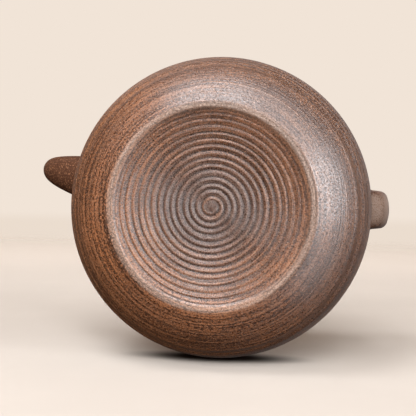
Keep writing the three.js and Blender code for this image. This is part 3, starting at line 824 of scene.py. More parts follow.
def stoneware(
    name, tint=0.5, shade=0.25, lines=0.3, spacing=0.0008, iron=0.55, grog=0.5, roughness=0.34, gloss=0.85, wear_and_sheen=0,
    grooved=False
):
    """Speckled stoneware of one piece, with its own share of each effect."""
    clay = sizes("clay_colours")
    material, tree, shader = new_material(name)
    vector = object_vector(tree, (POT_AXIS, 0, 0))
    grain = use_group(tree, "Clay Grain", {"Vector": vector, "Iron": iron, "Grog": grog})
    turning = use_group(tree, "Turning Lines", {"Vector": vector, "Spacing": spacing})
    patches = use_group(tree, "Flame Patches", {"Vector": vector})
    relief = add_node(tree, "ShaderNodeAttribute", attribute_name="relief").outputs["Fac"]
    if grooved:
        tint = add_node(tree, "ShaderNodeAttribute", attribute_name="warm_cool_tint").outputs["Fac"]
        shade = add_node(tree, "ShaderNodeAttribute", attribute_name="painted_shade").outputs["Fac"]
    warmth = math_node(tree, "ADD", ramp(tree, patches["Broad"], 0.3, 0.7, -0.15, 0.15), tint, clamp=True)
    colour_now = mix_colour(tree, warmth, clay.cool, clay.warm)
    # The shade share darkens the clay: evenly on most pieces, as painted shade from the body's shade attribute on the
    # body, and as painted shade over the whole spout.
    colour_now = mix_colour(tree, shade, colour_now, clay.shade)
    rings = use_group(tree, "Turning Lines", {"Vector": vector, "Spacing": spacing * 1.5})
    mottle = math_node(tree, "ADD", grain["Mottle"], ramp(tree, rings["Lines"], 0.3, 0.7, -0.35 * lines, 0.35 * lines))
    pale_grain_and_highlight = mix_colour(tree, warmth, clay.ash, clay.bright)
    colour_now = mix_colour(tree, ramp(tree, mottle, 0.41, 0.54, 1.0, 0.0), colour_now, clay.shade)
    colour_now = mix_colour(tree, ramp(tree, mottle, 0.54, 0.70, 0.0, 0.38), colour_now, pale_grain_and_highlight)
    # Painted sheen on the handle: the strap is mixed paler along its middle.
    if wear_and_sheen:
        strap_sheen = add_node(tree, "ShaderNodeAttribute", attribute_name="painted_strap_sheen").outputs["Fac"]
        colour_now = mix_colour(tree, math_node(tree, "MULTIPLY", strap_sheen, wear_and_sheen), colour_now, clay.rubbed)
    dull = math_node(tree, "MULTIPLY", ramp(tree, turning["Lines"], 0.53, 0.36), lines)
    pale = math_node(tree, "MULTIPLY", ramp(tree, turning["Fine Lines"], 0.52, 0.7), lines)
    height = math_node(tree, "MULTIPLY", turning["Lines"], 0.0003 * lines)
    height = math_node(tree, "ADD", height, math_node(tree, "MULTIPLY", turning["Fine Lines"], 0.0001 * lines))
    if grooved:
        path = use_group(tree, "Tool Path", {})
        calm = math_node(tree, "SUBTRACT", 1.0, path["Reach"], clamp=True)
        dull = math_node(tree, "MULTIPLY", dull, calm)
        height = math_node(tree, "MULTIPLY", height, ramp(tree, calm, 0.0, 1.0, 0.3, 1.0))
        # Painted shade in the groove troughs, and a painted highlight along the ridges, broken up by drag marks.
        colour_now = mix_colour(tree, math_node(tree, "MULTIPLY", path["Trough"], 0.95), colour_now, clay.dark)
        crest = math_node(tree, "MULTIPLY", path["Crest"], ramp(tree, path["Drag"], 0.25, 0.6))
        colour_now = mix_colour(tree, math_node(tree, "MULTIPLY", crest, 0.3), colour_now, pale_grain_and_highlight)
        height = math_node(tree, "ADD", height, math_node(tree, "MULTIPLY", path["Drag"], 0.00022))
        wear = add_node(tree, "ShaderNodeAttribute", attribute_name="foot_wear").outputs["Fac"]
        rubbed = math_node(tree, "MULTIPLY", wear, ramp(tree, grain["Mottle"], 0.35, 0.65, 0.25, 0.75))
        colour_now = mix_colour(tree, rubbed, colour_now, clay.rubbed)
    colour_now = mix_colour(tree, dull, colour_now, clay.dark)
    colour_now = mix_colour(tree, math_node(tree, "MULTIPLY", pale, 0.7), colour_now, pale_grain_and_highlight)
    # Painted shade: hollows are darkened, and sharp bulges made paler.
    colour_now = mix_colour(tree, ramp(tree, relief, -0.08, -0.8, 0.0, 0.5), colour_now, clay.dark)
    colour_now = mix_colour(tree, ramp(tree, relief, 0.08, 0.75, 0.0, 0.3), colour_now, pale_grain_and_highlight)
    colour_now = mix_colour(tree, math_node(tree, "MULTIPLY", grain["Iron Grains"], 0.8), colour_now, clay.dark)
    colour_now = mix_colour(tree, math_node(tree, "MULTIPLY", grain["Grog Grains"], 0.7), colour_now, pale_grain_and_highlight)
    rough = ramp(tree, grain["Tooth"], 0.3, 0.7, roughness - 0.12, roughness + 0.16)
    rough = math_node(tree, "ADD", rough, math_node(tree, "MULTIPLY", grain["Iron Grains"], 0.3))
    grazing = add_node(tree, "ShaderNodeLayerWeight", {"Blend": 0.5}).outputs["Facing"]
    rough = math_node(tree, "ADD", rough, ramp(tree, grazing, 0.58, 0.85, 0.0, 0.4))
    if grooved:
        rough = math_node(tree, "SUBTRACT", rough, math_node(tree, "MULTIPLY", path["Reach"], 0.08))
    height = math_node(tree, "ADD", height, math_node(tree, "MULTIPLY", grain["Tooth"], 0.00006))
    height = math_node(tree, "SUBTRACT", height, math_node(tree, "MULTIPLY", grain["Iron Grains"], 0.00004))
    bump = add_node(tree, "ShaderNodeBump", {"Height": height, "Distance": 1.0, "Strength": 1.0})
    link(tree, colour_now, shader.inputs["Base Color"])
    link(tree, rough, shader.inputs["Roughness"])
    link(tree, bump.outputs["Normal"], shader.inputs["Normal"])
    shader.inputs["IOR"].default_value = 2.0
    shader.inputs["Specular IOR Level"].default_value = gloss
    return material


def bare_clay(name):
    """Dry, paler clay that was covered in the kiln."""
    clay = sizes("clay_colours")
    material, tree, shader = new_material(name)
    vector = object_vector(tree, (POT_AXIS, 0, 0))
    grain = use_group(tree, "Clay Grain", {"Vector": vector, "Iron": 0.35, "Grog": 0.5})
    patches = use_group(tree, "Flame Patches", {"Vector": vector, "Size": 0.02})
    relief = add_node(tree, "ShaderNodeAttribute", attribute_name="relief").outputs["Fac"]
    colour_now = mix_colour(tree, ramp(tree, patches["Cloud"], 0.3, 0.7, 0.0, 0.4), clay.inner, clay.warm)
    # Painted shade: hollows are darkened.
    colour_now = mix_colour(tree, ramp(tree, relief, -0.1, -0.8, 0.0, 0.5), colour_now, clay.dark)
    colour_now = mix_colour(tree, math_node(tree, "MULTIPLY", grain["Iron Grains"], 0.6), colour_now, clay.dark)
    colour_now = mix_colour(tree, math_node(tree, "MULTIPLY", grain["Grog Grains"], 0.5), colour_now, clay.bright)
    height = math_node(tree, "MULTIPLY", grain["Tooth"], 0.00012)
    bump = add_node(tree, "ShaderNodeBump", {"Height": height, "Distance": 1.0, "Strength": 1.0})
    link(tree, colour_now, shader.inputs["Base Color"])
    link(tree, ramp(tree, grain["Tooth"], 0.3, 0.7, 0.72, 0.9), shader.inputs["Roughness"])
    link(tree, bump.outputs["Normal"], shader.inputs["Normal"])
    return material


def aged_brass(name):
    """Brass with brown tarnish in cloudy patches and rubbed edges."""
    clay = sizes("clay_colours")
    material, tree, shader = new_material(name)
    vector = object_vector(tree, (POT_AXIS, 0, 0))
    patches = use_group(tree, "Flame Patches", {"Vector": vector, "Size": 0.0035})
    grain = use_group(tree, "Clay Grain", {"Vector": vector, "Fineness": 4200.0, "Iron": 0.3, "Grog": 0.3})
    relief = add_node(tree, "ShaderNodeAttribute", attribute_name="relief").outputs["Fac"]
    colour_now = mix_colour(tree, ramp(tree, patches["Cloud"], 0.35, 0.7, 0.0, 0.6), clay.brass, (0.12, 0.065, 0.03))
    colour_now = mix_colour(tree, ramp(tree, relief, 0.1, 0.8, 0.0, 0.6), colour_now, (0.72, 0.54, 0.27))
    height = math_node(tree, "MULTIPLY", grain["Tooth"], 0.00002)
    bump = add_node(tree, "ShaderNodeBump", {"Height": height, "Distance": 1.0, "Strength": 1.0})
    link(tree, colour_now, shader.inputs["Base Color"])
    link(tree, ramp(tree, patches["Cloud"], 0.3, 0.75, 0.28, 0.55), shader.inputs["Roughness"])
    link(tree, bump.outputs["Normal"], shader.inputs["Normal"])
    shader.inputs["Metallic"].default_value = 1.0
    return material


class TEAPOT_OT_effects(Operator):
    """Build the effects that the clays and the brass share"""

    bl_idname = "teapot.effects"
    bl_label = "Shared effects"

    def execute(self, context):
        build_grain()
        build_turning()
        build_patches()
        build_tool_path()
        return {"FINISHED"}


def stage_material(name, colour_value, fades):
    """Matte surface seen only from its front, which fades out with distance or does not. A fading sheet is also painted
    brighter with distance and carries a painted contact shadow where the pot lies on it.
    """
    material, tree, shader = new_material(name)
    vector = object_vector(tree)
    cloud = add_node(tree, "ShaderNodeTexNoise", {"Vector": vector, "Scale": 9.0, "Detail": 4.0, "Roughness": 0.6})
    shade = tuple(c * 0.95 for c in colour_value)
    tone = mix_colour(tree, ramp(tree, cloud.outputs["Fac"], 0.35, 0.7), shade, tuple(colour_value))
    depth = add_node(tree, "ShaderNodeSeparateXYZ", {0: vector}).outputs[2]
    if fades:
        # Painted light: the table is painted up to half again as bright with distance.
        tone = mix_colour(tree, ramp(tree, depth, 0.1, 0.9), tone, tuple(min(c * 1.5, 1) for c in colour_value))
        # Painted contact shadow: the table goes near-black where the pot lies on it.
        near = add_node(
            tree, "ShaderNodeMapping", {"Vector": vector, "Location": (-POT_AXIS / 0.05, 0, -0.037 / 0.014), "Scale": (20, 0, 70)}
        )
        contact_shadow = add_node(tree, "ShaderNodeTexGradient", {"Vector": near.outputs[0]}, gradient_type="SPHERICAL").outputs["Fac"]
        tone = mix_colour(tree, ramp(tree, contact_shadow, 0.0, 0.7, 0.0, 1.0), tone, (0.010, 0.006, 0.004))
    link(tree, tone, shader.inputs["Base Color"])
    shader.inputs["Roughness"].default_value = 0.85
    shader.inputs["Specular IOR Level"].default_value = 0.15
    camera_ray = add_node(tree, "ShaderNodeLightPath").outputs["Is Camera Ray"]
    front = math_node(tree, "SUBTRACT", 1.0, add_node(tree, "ShaderNodeNewGeometry").outputs["Backfacing"])
    seen = math_node(tree, "MULTIPLY", camera_ray, front)
    if fades:
        seen = math_node(tree, "MULTIPLY", seen, ramp(tree, depth, 1.4, 0.5))
    clear = add_node(tree, "ShaderNodeBsdfTransparent")
    mixed = add_node(
        tree, "ShaderNodeMixShader", {0: seen, 1: clear.outputs[0], 2: shader.outputs[0]}
    )
    link(tree, mixed.outputs[0], tree.nodes["Material Output"].inputs["Surface"])
    return material


def add_light(name, direction, distance, size, power, warmth, diffuse=True, glossy=True):
    """Adds a soft square light that faces the pot, and says which of its two kinds of light it gives."""
    centre = Vector((POT_AXIS, 0, 0.037))
    place = centre + Vector(direction).normalized() * distance
    turned = (centre - place).to_track_quat("-Z", "Y").to_euler()
    deselect()
    bpy.ops.object.light_add(type="AREA", location=place, rotation=turned)
    lamp = bpy.context.object
    lamp.name = name
    lamp.data.size = size
    lamp.data.energy = power
    lamp.data.color = warmth
    lamp.visible_camera = False
    lamp.visible_diffuse = diffuse
    lamp.visible_glossy = glossy


class TEAPOT_OT_stage(Operator):
    """Set up the camera, the table, the floor and the soft lights"""

    bl_idname = "teapot.stage"
    bl_label = "Stage"

    def execute(self, context):
        studio = sizes("studio")
        self.add_camera()
        for name, size, place, turned, tint, fades in (
            ("table", (4.0, 2.2), (POT_AXIS, 0.0705, 0.95), (math.pi / 2, 0, 0), studio.table, True),
            ("floor", (3.0, 3.0), (POT_AXIS, 0, 0), (0, 0, 0), studio.floor, False),
        ):
            deselect()
            bpy.ops.mesh.primitive_plane_add(size=1, location=place, rotation=turned)
            sheet = name_piece(bpy.context.object, name)
            sheet.scale = (*size, 1)
            bpy.ops.object.transform_apply(location=True, rotation=True, scale=True)
            sheet.data.materials.append(stage_material(name, tint, fades))
        self.light_room(studio)
        return {"FINISHED"}

    def add_camera(self):
        """Stands the camera under the foot, where the photograph was taken from."""
        tilt, roll = math.radians(6.86), math.radians(0.85)
        forward = Vector((-math.sin(tilt), 0, math.cos(tilt)))
        level = Vector((math.cos(tilt), 0, math.sin(tilt)))
        above = Vector((0, -1, 0))
        right = level * math.cos(roll) + above * math.sin(roll)
        up = above * math.cos(roll) - level * math.sin(roll)
        girth = Vector((POT_AXIS, 0, 0.037))
        deselect()
        bpy.ops.object.camera_add()
        camera = bpy.context.object
        place = girth - level * 0.005237 - above * 0.000383 - forward * 0.3262
        turned = Matrix((right, up, -forward)).transposed().to_4x4()
        camera.matrix_world = Matrix.Translation(place) @ turned
        camera.data.lens = 60
        camera.data.sensor_width = 36
        camera.data.clip_start = 0.01
        camera.data.clip_end = 20
        bpy.context.scene.camera = camera

    def light_room(self, studio):
        warm = (1.0, 0.97, 0.94)
        add_light("key", (0.78, -0.34, -0.52), 2.2, 0.55, studio.key, warm, glossy=False)
        add_light("window", (-0.3, -0.92, -0.25), 2.2, 0.8, studio.window, warm, glossy=False)
        add_light("fill", (-0.1, -0.50, -0.86), 2.2, 2.2, studio.fill, warm, glossy=False)
        add_light("haze", (0.393, -0.105, -0.914), 2.2, 1.1, studio.haze, (1, 0.9, 0.8), diffuse=False)
        lean = math.radians(66)
        for name, turned, share in (("low", -28, 0.25), ("right", 13, 1), ("corner", 58, 0.4), ("top", 98, 0.95)):
            around = math.radians(turned)
            way = (math.sin(lean) * math.cos(around), -math.sin(lean) * math.sin(around), -math.cos(lean))
            add_light(f"gleam {name}", way, 2.2, 1.5, studio.gleam * share, (0.92, 0.96, 1), diffuse=False)
        add_light("top", (-0.15, 0.22, 0.96), 1.8, 0.9, studio.top, warm, glossy=False)
        add_light("crown", (-0.35, -0.55, 0.76), 1.8, 0.8, studio.crown, warm, diffuse=False)
        world = bpy.data.worlds.new("room")
        bpy.context.scene.world = world
        world.use_nodes = True
        tree = world.node_tree
        tree.nodes.clear()
        path = add_node(tree, "ShaderNodeLightPath").outputs
        way = add_node(
            tree, "ShaderNodeSeparateXYZ", {0: add_node(tree, "ShaderNodeTexCoord").outputs["Generated"]}
        ).outputs
        beyond = math_node(tree, "MULTIPLY", ramp(tree, way[1], 0.006, 0.024), ramp(tree, way[2], 0.6, 0.7))
        seen = mix_colour(tree, beyond, studio.wall, studio.far_table)
        wall = add_node(tree, "ShaderNodeBackground", {"Color": seen, "Strength": 1.0})
        strength = ramp(tree, way[1], -0.6, 0.5, studio.ambient, studio.table_ambient)
        gloss = ramp(tree, way[2], -0.25, 0.1, 0.98, 0.9)
        gloss = math_node(tree, "SUBTRACT", 1.0, math_node(tree, "MULTIPLY", path["Is Glossy Ray"], gloss, clamp=True))
        dimmed = math_node(tree, "MULTIPLY", strength, gloss)
        glow = add_node(tree, "ShaderNodeBackground", {"Color": (*studio.room, 1), "Strength": dimmed})
        both = add_node(
            tree,
            "ShaderNodeMixShader",
            {0: path["Is Camera Ray"], 1: glow.outputs[0], 2: wall.outputs[0]},
        )
        output = add_node(tree, "ShaderNodeOutputWorld")
        link(tree, both.outputs[0], output.inputs["Surface"])
        bpy.context.scene.view_settings.view_transform = "Standard"


class TEAPOT_OT_body(Operator):
    """Throw the body: wall, neck, foot and the grooved recess"""

    bl_idname = "teapot.body"
    bl_label = "Body"

    def execute(self, context):
        body = sizes("thrown_body")
        spout = sizes("spout_sizes")
        piece = turn("thrown_body", body_profile(body), 256)
        trim_recess(piece)
        throw_wall(piece)
        bore = spout.root_radius - spout.root_wall + 0.0002
        angle = math.pi + spout.skew
        out = Vector((math.cos(angle), math.sin(angle), 0))
        drill(piece, bore, out * 0.062 + Vector((0, 0, spout.root_height)), out, 0.026, 48)
        carry_to_axis(piece)
        material = stoneware("Stoneware body", lines=0.45, iron=0.66, grog=0.54, grooved=True)
        finish_piece(piece, "pot", ["pot_body"], material, 50)
        return {"FINISHED"}


def round_section(sides):
    return [(math.cos(FULL_TURN * i / sides), math.sin(FULL_TURN * i / sides)) for i in range(sides)]


def nearest_on_line(spots, curves):
    """Nearest points of joined curves in the XZ plane to a set of points."""
    line = np.array([(spot.x, 0, spot.y) for points in curves for spot in (bezier(points, i / 160)[0] for i in range(161))])
    nearest = [np.linalg.norm(line - spot, axis=1).argmin() for spot in spots]
    return line[nearest]


class TEAPOT_OT_spout(Operator):
    """Form the spout and lute it to the wall"""

    bl_idname = "teapot.spout"
    bl_label = "Spout"

    def execute(self, context):
        spout = sizes("spout_sizes")
        end = spout.tip_reach + spout.tip_lean * spout.tip_radius / spout.tip_stretch
        high = spout.tip_height + spout.tip_radius
        curve = [
            (spout.root_reach, spout.root_height),
            (spout.root_reach + spout.root_stretch, spout.root_height),
            (end - spout.tip_lean, high - spout.tip_stretch),
            (end, high),
        ]

        def outer_at(share):
            return spout.tip_radius + (spout.root_radius - spout.tip_radius) * (1 - share) ** 1.5

        def bore_at(share):
            return outer_at(share) - spout.tip_wall - (spout.root_wall - spout.tip_wall) * (1 - share)

        piece = sweep("drawn_spout", round_section(64), path_stations([curve], 64, outer_at))
        cut_to_body(piece, 0.0012)
        flare_joint(piece, spout.flare, 0.0085, lambda spots: nearest_on_line(spots, [curve]))
        cut(piece, sweep("spout bore", round_section(64), path_stations([curve], 40, bore_at)))
        edit(piece)
        bpy.ops.mesh.bisect(plane_co=(0, 0, spout.tip_height), plane_no=(0, 0, 1), use_fill=True, clear_outer=True)
        leave_edit()
        self.round_lip(piece, spout)
        carry_to_axis(piece, math.pi + spout.skew)
        # shade=1.0 paints the whole spout in the shade that the body casts on it.
        clay = stoneware("Stoneware spout", tint=0.9, shade=1.0, lines=0.05, iron=0.5, grog=0.15, roughness=0.65, gloss=0.1)
        finish_piece(piece, "pot", ["spout"], clay, 50)
        return {"FINISHED"}

    def round_lip(self, piece, spout):
        """Rounds the edges round the flat of the tip."""
        level = np.abs(positions(piece)[:, 2] - spout.tip_height) < 1e-5
        uses = {}
        for face in piece.data.polygons:
            if all(level[corner] for corner in face.vertices):
                for key in face.edge_keys:
                    uses[key] = uses.get(key, 0) + 1
        edit(piece)
        bpy.ops.mesh.select_mode(type="EDGE")
        bpy.ops.mesh.select_all(action="DESELECT")
        leave_edit()
        for edge in piece.data.edges:
            edge.select = uses.get(edge.key) == 1
        bpy.ops.object.mode_set(mode="EDIT")
        bpy.ops.mesh.bevel(offset=spout.tip_wall * 0.4, segments=4, profile=0.5)
        leave_edit()


def pulled_clay(name):
    # The last share paints a paler sheen along the handle's strap.
    return stoneware(name, tint=0.3, shade=0.3, lines=0.05, iron=0.35, grog=0.2, roughness=0.28, wear_and_sheen=0.48)


class TEAPOT_OT_strainer(Operator):
    """Press the pierced dome that holds the leaves back behind the spout"""

    bl_idname = "teapot.strainer"
    bl_label = "Strainer"

    def execute(self, context):
        body = sizes("thrown_body")
        spout = sizes("spout_sizes")
        outer = spout.strainer_radius
        inner = outer - spout.strainer_wall
        centre = Vector((body.girth_radius - body.wall - 0.0003, 0, spout.root_height))
        deselect()
        profile = [*arc((0, 0), (outer, outer), 90, 0, 24), *arc((0, 0), (inner, inner), 0, 90, 24)]
        piece = turn("pierced_dome", [(r, h) for r, h in profile], 48)
        bpy.ops.object.select_all(action="DESELECT")
        pick(piece)
        piece.rotation_euler = (0, -math.pi / 2, 0)
        piece.location = centre
        bpy.ops.object.transform_apply(location=True, rotation=True, scale=True)
        cavity = self.cavity(body)
        cut(piece, cavity, "INTERSECT")
        self.pierce(piece, spout, centre)
        carry_to_axis(piece, math.pi + spout.skew)
        finish_piece(piece, "pot", ["strainer_dome"], bare_clay("Bare clay strainer"), 50)
        return {"FINISHED"}

    def cavity(self, body):
        """The space inside the wall, grown into the wall by half a millimetre."""
        grown = 0.0005
        throat = body.neck_radius - body.neck_wall + 0.0025
        top = body.shoulder_height - body.wall
        floor = body.recess_depth + body.floor
        foot = body.floor_radius
        girth = body.girth_radius - body.wall
        under = arc((foot, body.girth_height), (girth + grown - foot, body.girth_height - floor), -90, 0, 14)
        over = arc((throat, body.girth_height), (girth + grown - throat, top + grown - body.girth_height), 0, 90, 24)
        return turn("cavity", [(0, floor), *under, *over[1:], (0, top + grown)], 96)

    def pierce(self, piece, spout, centre):
        reach = spout.strainer_radius
        drills = []
        for ring, count in enumerate((1, 6, 10)):
            lean = math.radians(25) * ring
            for i in range(count):
                around = FULL_TURN * i / count
                way = Vector((-math.cos(lean), math.sin(lean) * math.cos(around), math.sin(lean) * math.sin(around)))
                turned = Vector((0, 0, 1)).rotation_difference(way).to_euler()
                deselect()
                bpy.ops.mesh.primitive_cylinder_add(
                    vertices=20, radius=spout.strainer_hole, depth=reach * 0.6, location=centre + way * reach, rotation=turned
                )
                drills.append(bpy.context.object)
        deselect()
        for tool in drills:
            tool.select_set(True)
        bpy.context.view_layer.objects.active = drills[0]
        bpy.ops.object.join()
        cut(piece, bpy.context.object)


def strap_section(width, thickness, corner, crown, steps=5):
    """Section across the handle, flat inside and crowned outside, as (across, outward) points."""
    points = []
    for quarter, (side, face) in enumerate(((1, -1), (1, 1), (-1, 1), (-1, -1))):
        for i in range(steps + 1):
            angle = (quarter - 1 + i / steps) * (math.pi / 2)
            points.append(
                (
                    side * (width / 2 - corner) + corner * math.cos(angle),
                    face * (thickness / 2 - corner) + corner * math.sin(angle),
                )
            )
        ahead = ((1, 1), (-1, 1), (-1, -1), (1, -1))[quarter]
        if side == ahead[0]:
            continue
        for share in (0.2, 0.4, 0.6, 0.8):
            points.append(
                (side * (width / 2 - corner) * (1 - 2 * share), face * (thickness / 2 - corner) + corner * face)
            )
    return [(a, o - crown * (2 * a / width) ** 2 * (0.5 + o / thickness)) for a, o in points]


class TEAPOT_OT_handle(Operator):
    """Pull the strap handle and lute it to the shoulder and the side"""

    bl_idname = "teapot.handle"
    bl_label = "Handle"

    def execute(self, context):
        strap = sizes("handle_sizes")
        body = sizes("thrown_body")
        outer = strap.reach - strap.thickness / 2
        top = strap.top - strap.thickness / 2
        pull = strap.arch_start + (top - strap.arch_start) * 4 / 3
        share = (strap.lower_root - body.girth_height) / (body.shoulder_height - body.girth_height)
        girth_run = body.girth_radius - body.neck_radius
        lower = body.neck_radius + girth_run * math.sqrt(1 - share**2) - body.wall
        curves = [
            [
                (strap.upper_root, strap.arch_start),
                (strap.upper_root, pull),
                (outer, pull),
                (outer, strap.arch_start),
            ],
            [
                (outer, strap.arch_start),
                (outer, (strap.arch_start + strap.lower_root) / 2),
                ((outer + lower) / 2, strap.lower_root + strap.thickness / 2),
                (lower, strap.lower_root),
            ],
        ]

        def swell_at(along):
            return 1 + (strap.swell - 1) * abs(2 * along - 1) ** 3

        section = strap_section(strap.width, strap.thickness, strap.corner, strap.crown)
        piece = sweep("strap_handle", section, path_stations(curves, 96, swell_at))
        cut_to_body(piece, 0.0012)
        flare_joint(piece, strap.flare, 0.006, lambda spots: nearest_on_line(spots, curves))
        carry_to_axis(piece)
        # Painted sheen: a paler band along the middle of the strap, strongest on the lower limb.
        spots = positions(piece)
        side = np.clip((0.95 - np.abs(spots[:, 1]) / (strap.width / 2)) / 0.4, 0, 1)
        limb = np.clip((strap.top - 0.004 - spots[:, 2]) / 0.02, 0.35, 1)
        write_attribute(piece, "painted_strap_sheen", "FLOAT", side * side * (3 - 2 * side) * limb)
        finish_piece(piece, "pot", ["handle"], pulled_clay("Stoneware handle"), 50)
        return {"FINISHED"}


def quadratic(start, pull, end, steps):
    points = []
    for i in range(1, steps + 1):
        share = i / steps
        rest = 1 - share
        points.append(
            tuple(a * rest**2 + b * 2 * rest * share + c * share**2 for a, b, c in zip(start, pull, end))
        )
    return points


class TEAPOT_OT_ears(Operator):
    """Cut the two lugs that hold the hinge pin, and lute them to the shoulder"""

    bl_idname = "teapot.ears"
    bl_label = "Hinge ears"

    def execute(self, context):
        hinge = sizes("hinge_sizes")
        for side, label in ((-1, "left"), (1, "right")):
            near, far = sorted((side * hinge.inner_face, side * hinge.outer_face))
            piece = plate(f"ear_{label}", self.outline(hinge), near, far)
            drill(piece, hinge.pin_radius + hinge.clearance, (hinge.reach, 0, hinge.height), (0, 1, 0), 0.05)
            cut_to_body(piece, 0.0008)
            add_modifier(piece, "BEVEL", width=0.0009, segments=4, limit_method="ANGLE", angle_limit=math.radians(50))
            carry_to_axis(piece)
            material = stoneware(f"Stoneware ear {label}", tint=0.4, lines=0.0, grog=0.4)
            finish_piece(piece, "pot", [f"hinge_ear_{label}"], material)
        return {"FINISHED"}

    def outline(self, hinge):
        body = sizes("thrown_body")

        def shoulder_at(reach):
            share = (reach - body.neck_radius) / (body.girth_radius - body.neck_radius)
            return body.girth_height + (body.shoulder_height - body.girth_height) * math.sqrt(1 - share**2)

        left, right = hinge.reach - hinge.ear_top, hinge.reach + hinge.ear_top
        spread = hinge.ear_spread
        flare = shoulder_at(hinge.reach)
        foot = shoulder_at(right + spread) - body.wall
        low = (right + spread, flare - spread * 2)
        end = (left - spread, flare)
        return [
            (left - spread, foot),
            (right + spread, foot),
            low,
            *quadratic(low, (right, flare), (right, hinge.height), 8),
            *arc((hinge.reach, hinge.height), (hinge.ear_top, hinge.ear_top), 0, 180, 24)[1:],
            *quadratic((left, hinge.height), (left, flare + spread), end, 8),
        ]


class TEAPOT_OT_pin(Operator):
    """Turn the brass pin and press the cap on its end"""

    bl_idname = "teapot.pin"
    bl_label = "Hinge pin"

    def execute(self, context):
        hinge = sizes("hinge_sizes")
        centre = (hinge.reach, 0, hinge.height)
        base = hinge.outer_face + 0.0003
        head, high = hinge.head_radius, hinge.head_height
        end = base + 0.002
        edge = 0.0003
        dome = arc((0, 0), (head - edge, high * 0.75), 90, 0, 8)
        pin = [(r, -base - high * 0.25 - z) for r, z in dome]
        pin += [(head, -base - high * 0.2), (head, -base), (hinge.pin_radius, -base)]
        pin += [(hinge.pin_radius, end - 0.0005), (hinge.pin_radius - edge, end - 0.0003), (0, end - 0.0003)]
        bore = hinge.pin_radius + 0.0003
        cap = [(0, end), (bore, end), (bore, base), (head - edge, base), (head, base + edge), (head, end)]
        cap += [(r, end + z) for r, z in arc((0, 0), (head - edge / 2, high), 8, 90, 8)]
        for name, profile, node in (("brass_pin", pin, "hinge_pin"), ("brass_cap", cap, "pin_cap")):
            piece = turn(name, profile, 48, centre, (0, 1, 0))
            carry_to_axis(piece)
            finish_piece(piece, "pot", [node], aged_brass(f"Aged {name.replace('_', ' ')}"), 35)
        return {"FINISHED"}


def dome_at(lid, reach):
    return lid.seat + lid.edge + lid.rise * (1 - (reach / lid.radius) ** 2)


class TEAPOT_OT_lid(Operator):
    """Throw the lid, with its turned lines and its vent hole"""

    bl_idname = "teapot.lid"
    bl_label = "Lid"

    def execute(self, context):
        lid = sizes("lid_sizes")
        hollow = [
            (lid.flange_bore * i / 16, dome_at(lid, lid.flange_bore * i / 16) - lid.thickness) for i in range(17)
        ]
        edge = lid.rounding
        rim = lid.radius - edge
        lower = arc((lid.radius - 0.0009, lid.seat + 0.0009), (0.0009, 0.0009), -90, 0, 5)
        top = dome_at(lid, rim)
        upper = quadratic((lid.radius, top - edge), (lid.radius, top - edge * 0.3), (rim, top), 8)
        steps = 150
        dome = [(rim * (1 - i / steps), dome_at(lid, rim * (1 - i / steps))) for i in range(1, steps + 1)]
        profile = [*hollow, (lid.flange_bore, lid.seat), *lower, (lid.radius, top - edge), *upper, *dome]
        piece = turn("thrown_lid", profile, 192)
        self.turn_lines(piece, lid, rim)
        drill(piece, lid.vent_radius, (-lid.vent_reach, 0, dome_at(lid, lid.vent_reach)), (0, 0, 1), 0.02, 32)
        carry_to_axis(piece)
        material = stoneware("Stoneware lid", tint=0.45, lines=0.4)
        finish_piece(piece, "lid_assembly", ["lid"], material)
        return {"FINISHED"}

    def turn_lines(self, piece, lid, rim):
        """Sinks two fine lines near the edge and leaves faint finger swells on the dome."""
        spots = positions(piece)
        reach = np.hypot(spots[:, 0], spots[:, 1])
        skin = np.abs(spots[:, 2] - dome_at(lid, reach)) < 1e-5
        swell = 0.00007 * noise_rows(reach / 0.0019, 11)
        sink = sum(0.00032 * np.exp(-(((reach - at) / 0.00032) ** 2)) for at in (rim - 0.0021, rim - 0.0034))
        spots[:, 2] += np.where(skin, swell * np.clip((rim - reach) / 0.002, 0, 1) - sink, 0)
        move_to(piece, spots)


class TEAPOT_OT_flange(Operator):
    """Turn the ring under the lid that sits in the mouth"""

    bl_idname = "teapot.flange"
    bl_label = "Lid flange"

    def execute(self, context):
        lid = sizes("lid_sizes")
        low = lid.seat - 0.0003 - lid.flange_depth
        high = lid.seat + 0.0002
        soft = 0.001
        profile = [
            (lid.flange_bore + soft * 0.5, low),
            *arc((lid.flange_radius - soft, low + soft), (soft, soft), -90, 0, 5),
            (lid.flange_radius, high),
            (lid.flange_bore, high),
            (lid.flange_bore, low + soft * 0.5),
            (lid.flange_bore + soft * 0.15, low + soft * 0.15),
            (lid.flange_bore + soft * 0.5, low),
        ]
        piece = turn("lid_ring", profile, 144)
        carry_to_axis(piece)
        finish_piece(piece, "lid_assembly", ["lid_flange"], bare_clay("Bare clay flange"), 50)
        return {"FINISHED"}


class TEAPOT_OT_tongue(Operator):
    """Lute the strap on the lid that turns on the pin"""

    bl_idname = "teapot.tongue"
    bl_label = "Lid tongue"

    def execute(self, context):
        lid = sizes("lid_sizes")
        hinge = sizes("hinge_sizes")
        under = lid.seat + lid.rounding
        drop = math.degrees(math.asin((hinge.height - under) / hinge.tongue_end))
        end = (hinge.tongue_end, hinge.tongue_end)
        back = []
        for i in range(25):
            share = i / 24
            reach = lid.radius - hinge.tongue_seat * share
            back.append((reach, dome_at(lid, reach) + hinge.tongue_thickness * math.sqrt(1 - share**2) - 0.0002 * share))
        outline = [
            (lid.radius - hinge.tongue_seat, under),
            *arc((hinge.reach, hinge.height), end, 180 + drop, 450, 30),
            *back,
        ]
        piece = plate("lid_strap", outline, -hinge.tongue_half, hinge.tongue_half)
        drill(piece, hinge.pin_radius + hinge.clearance, (hinge.reach, 0, hinge.height), (0, 1, 0), 0.03)
        add_modifier(piece, "BEVEL", width=0.0009, segments=4, limit_method="ANGLE", angle_limit=math.radians(50))
        carry_to_axis(piece)
        material = stoneware("Stoneware tongue", tint=0.4, lines=0.0, grog=0.4)
        finish_piece(piece, "lid_assembly", ["lid_tongue"], material)
        return {"FINISHED"}


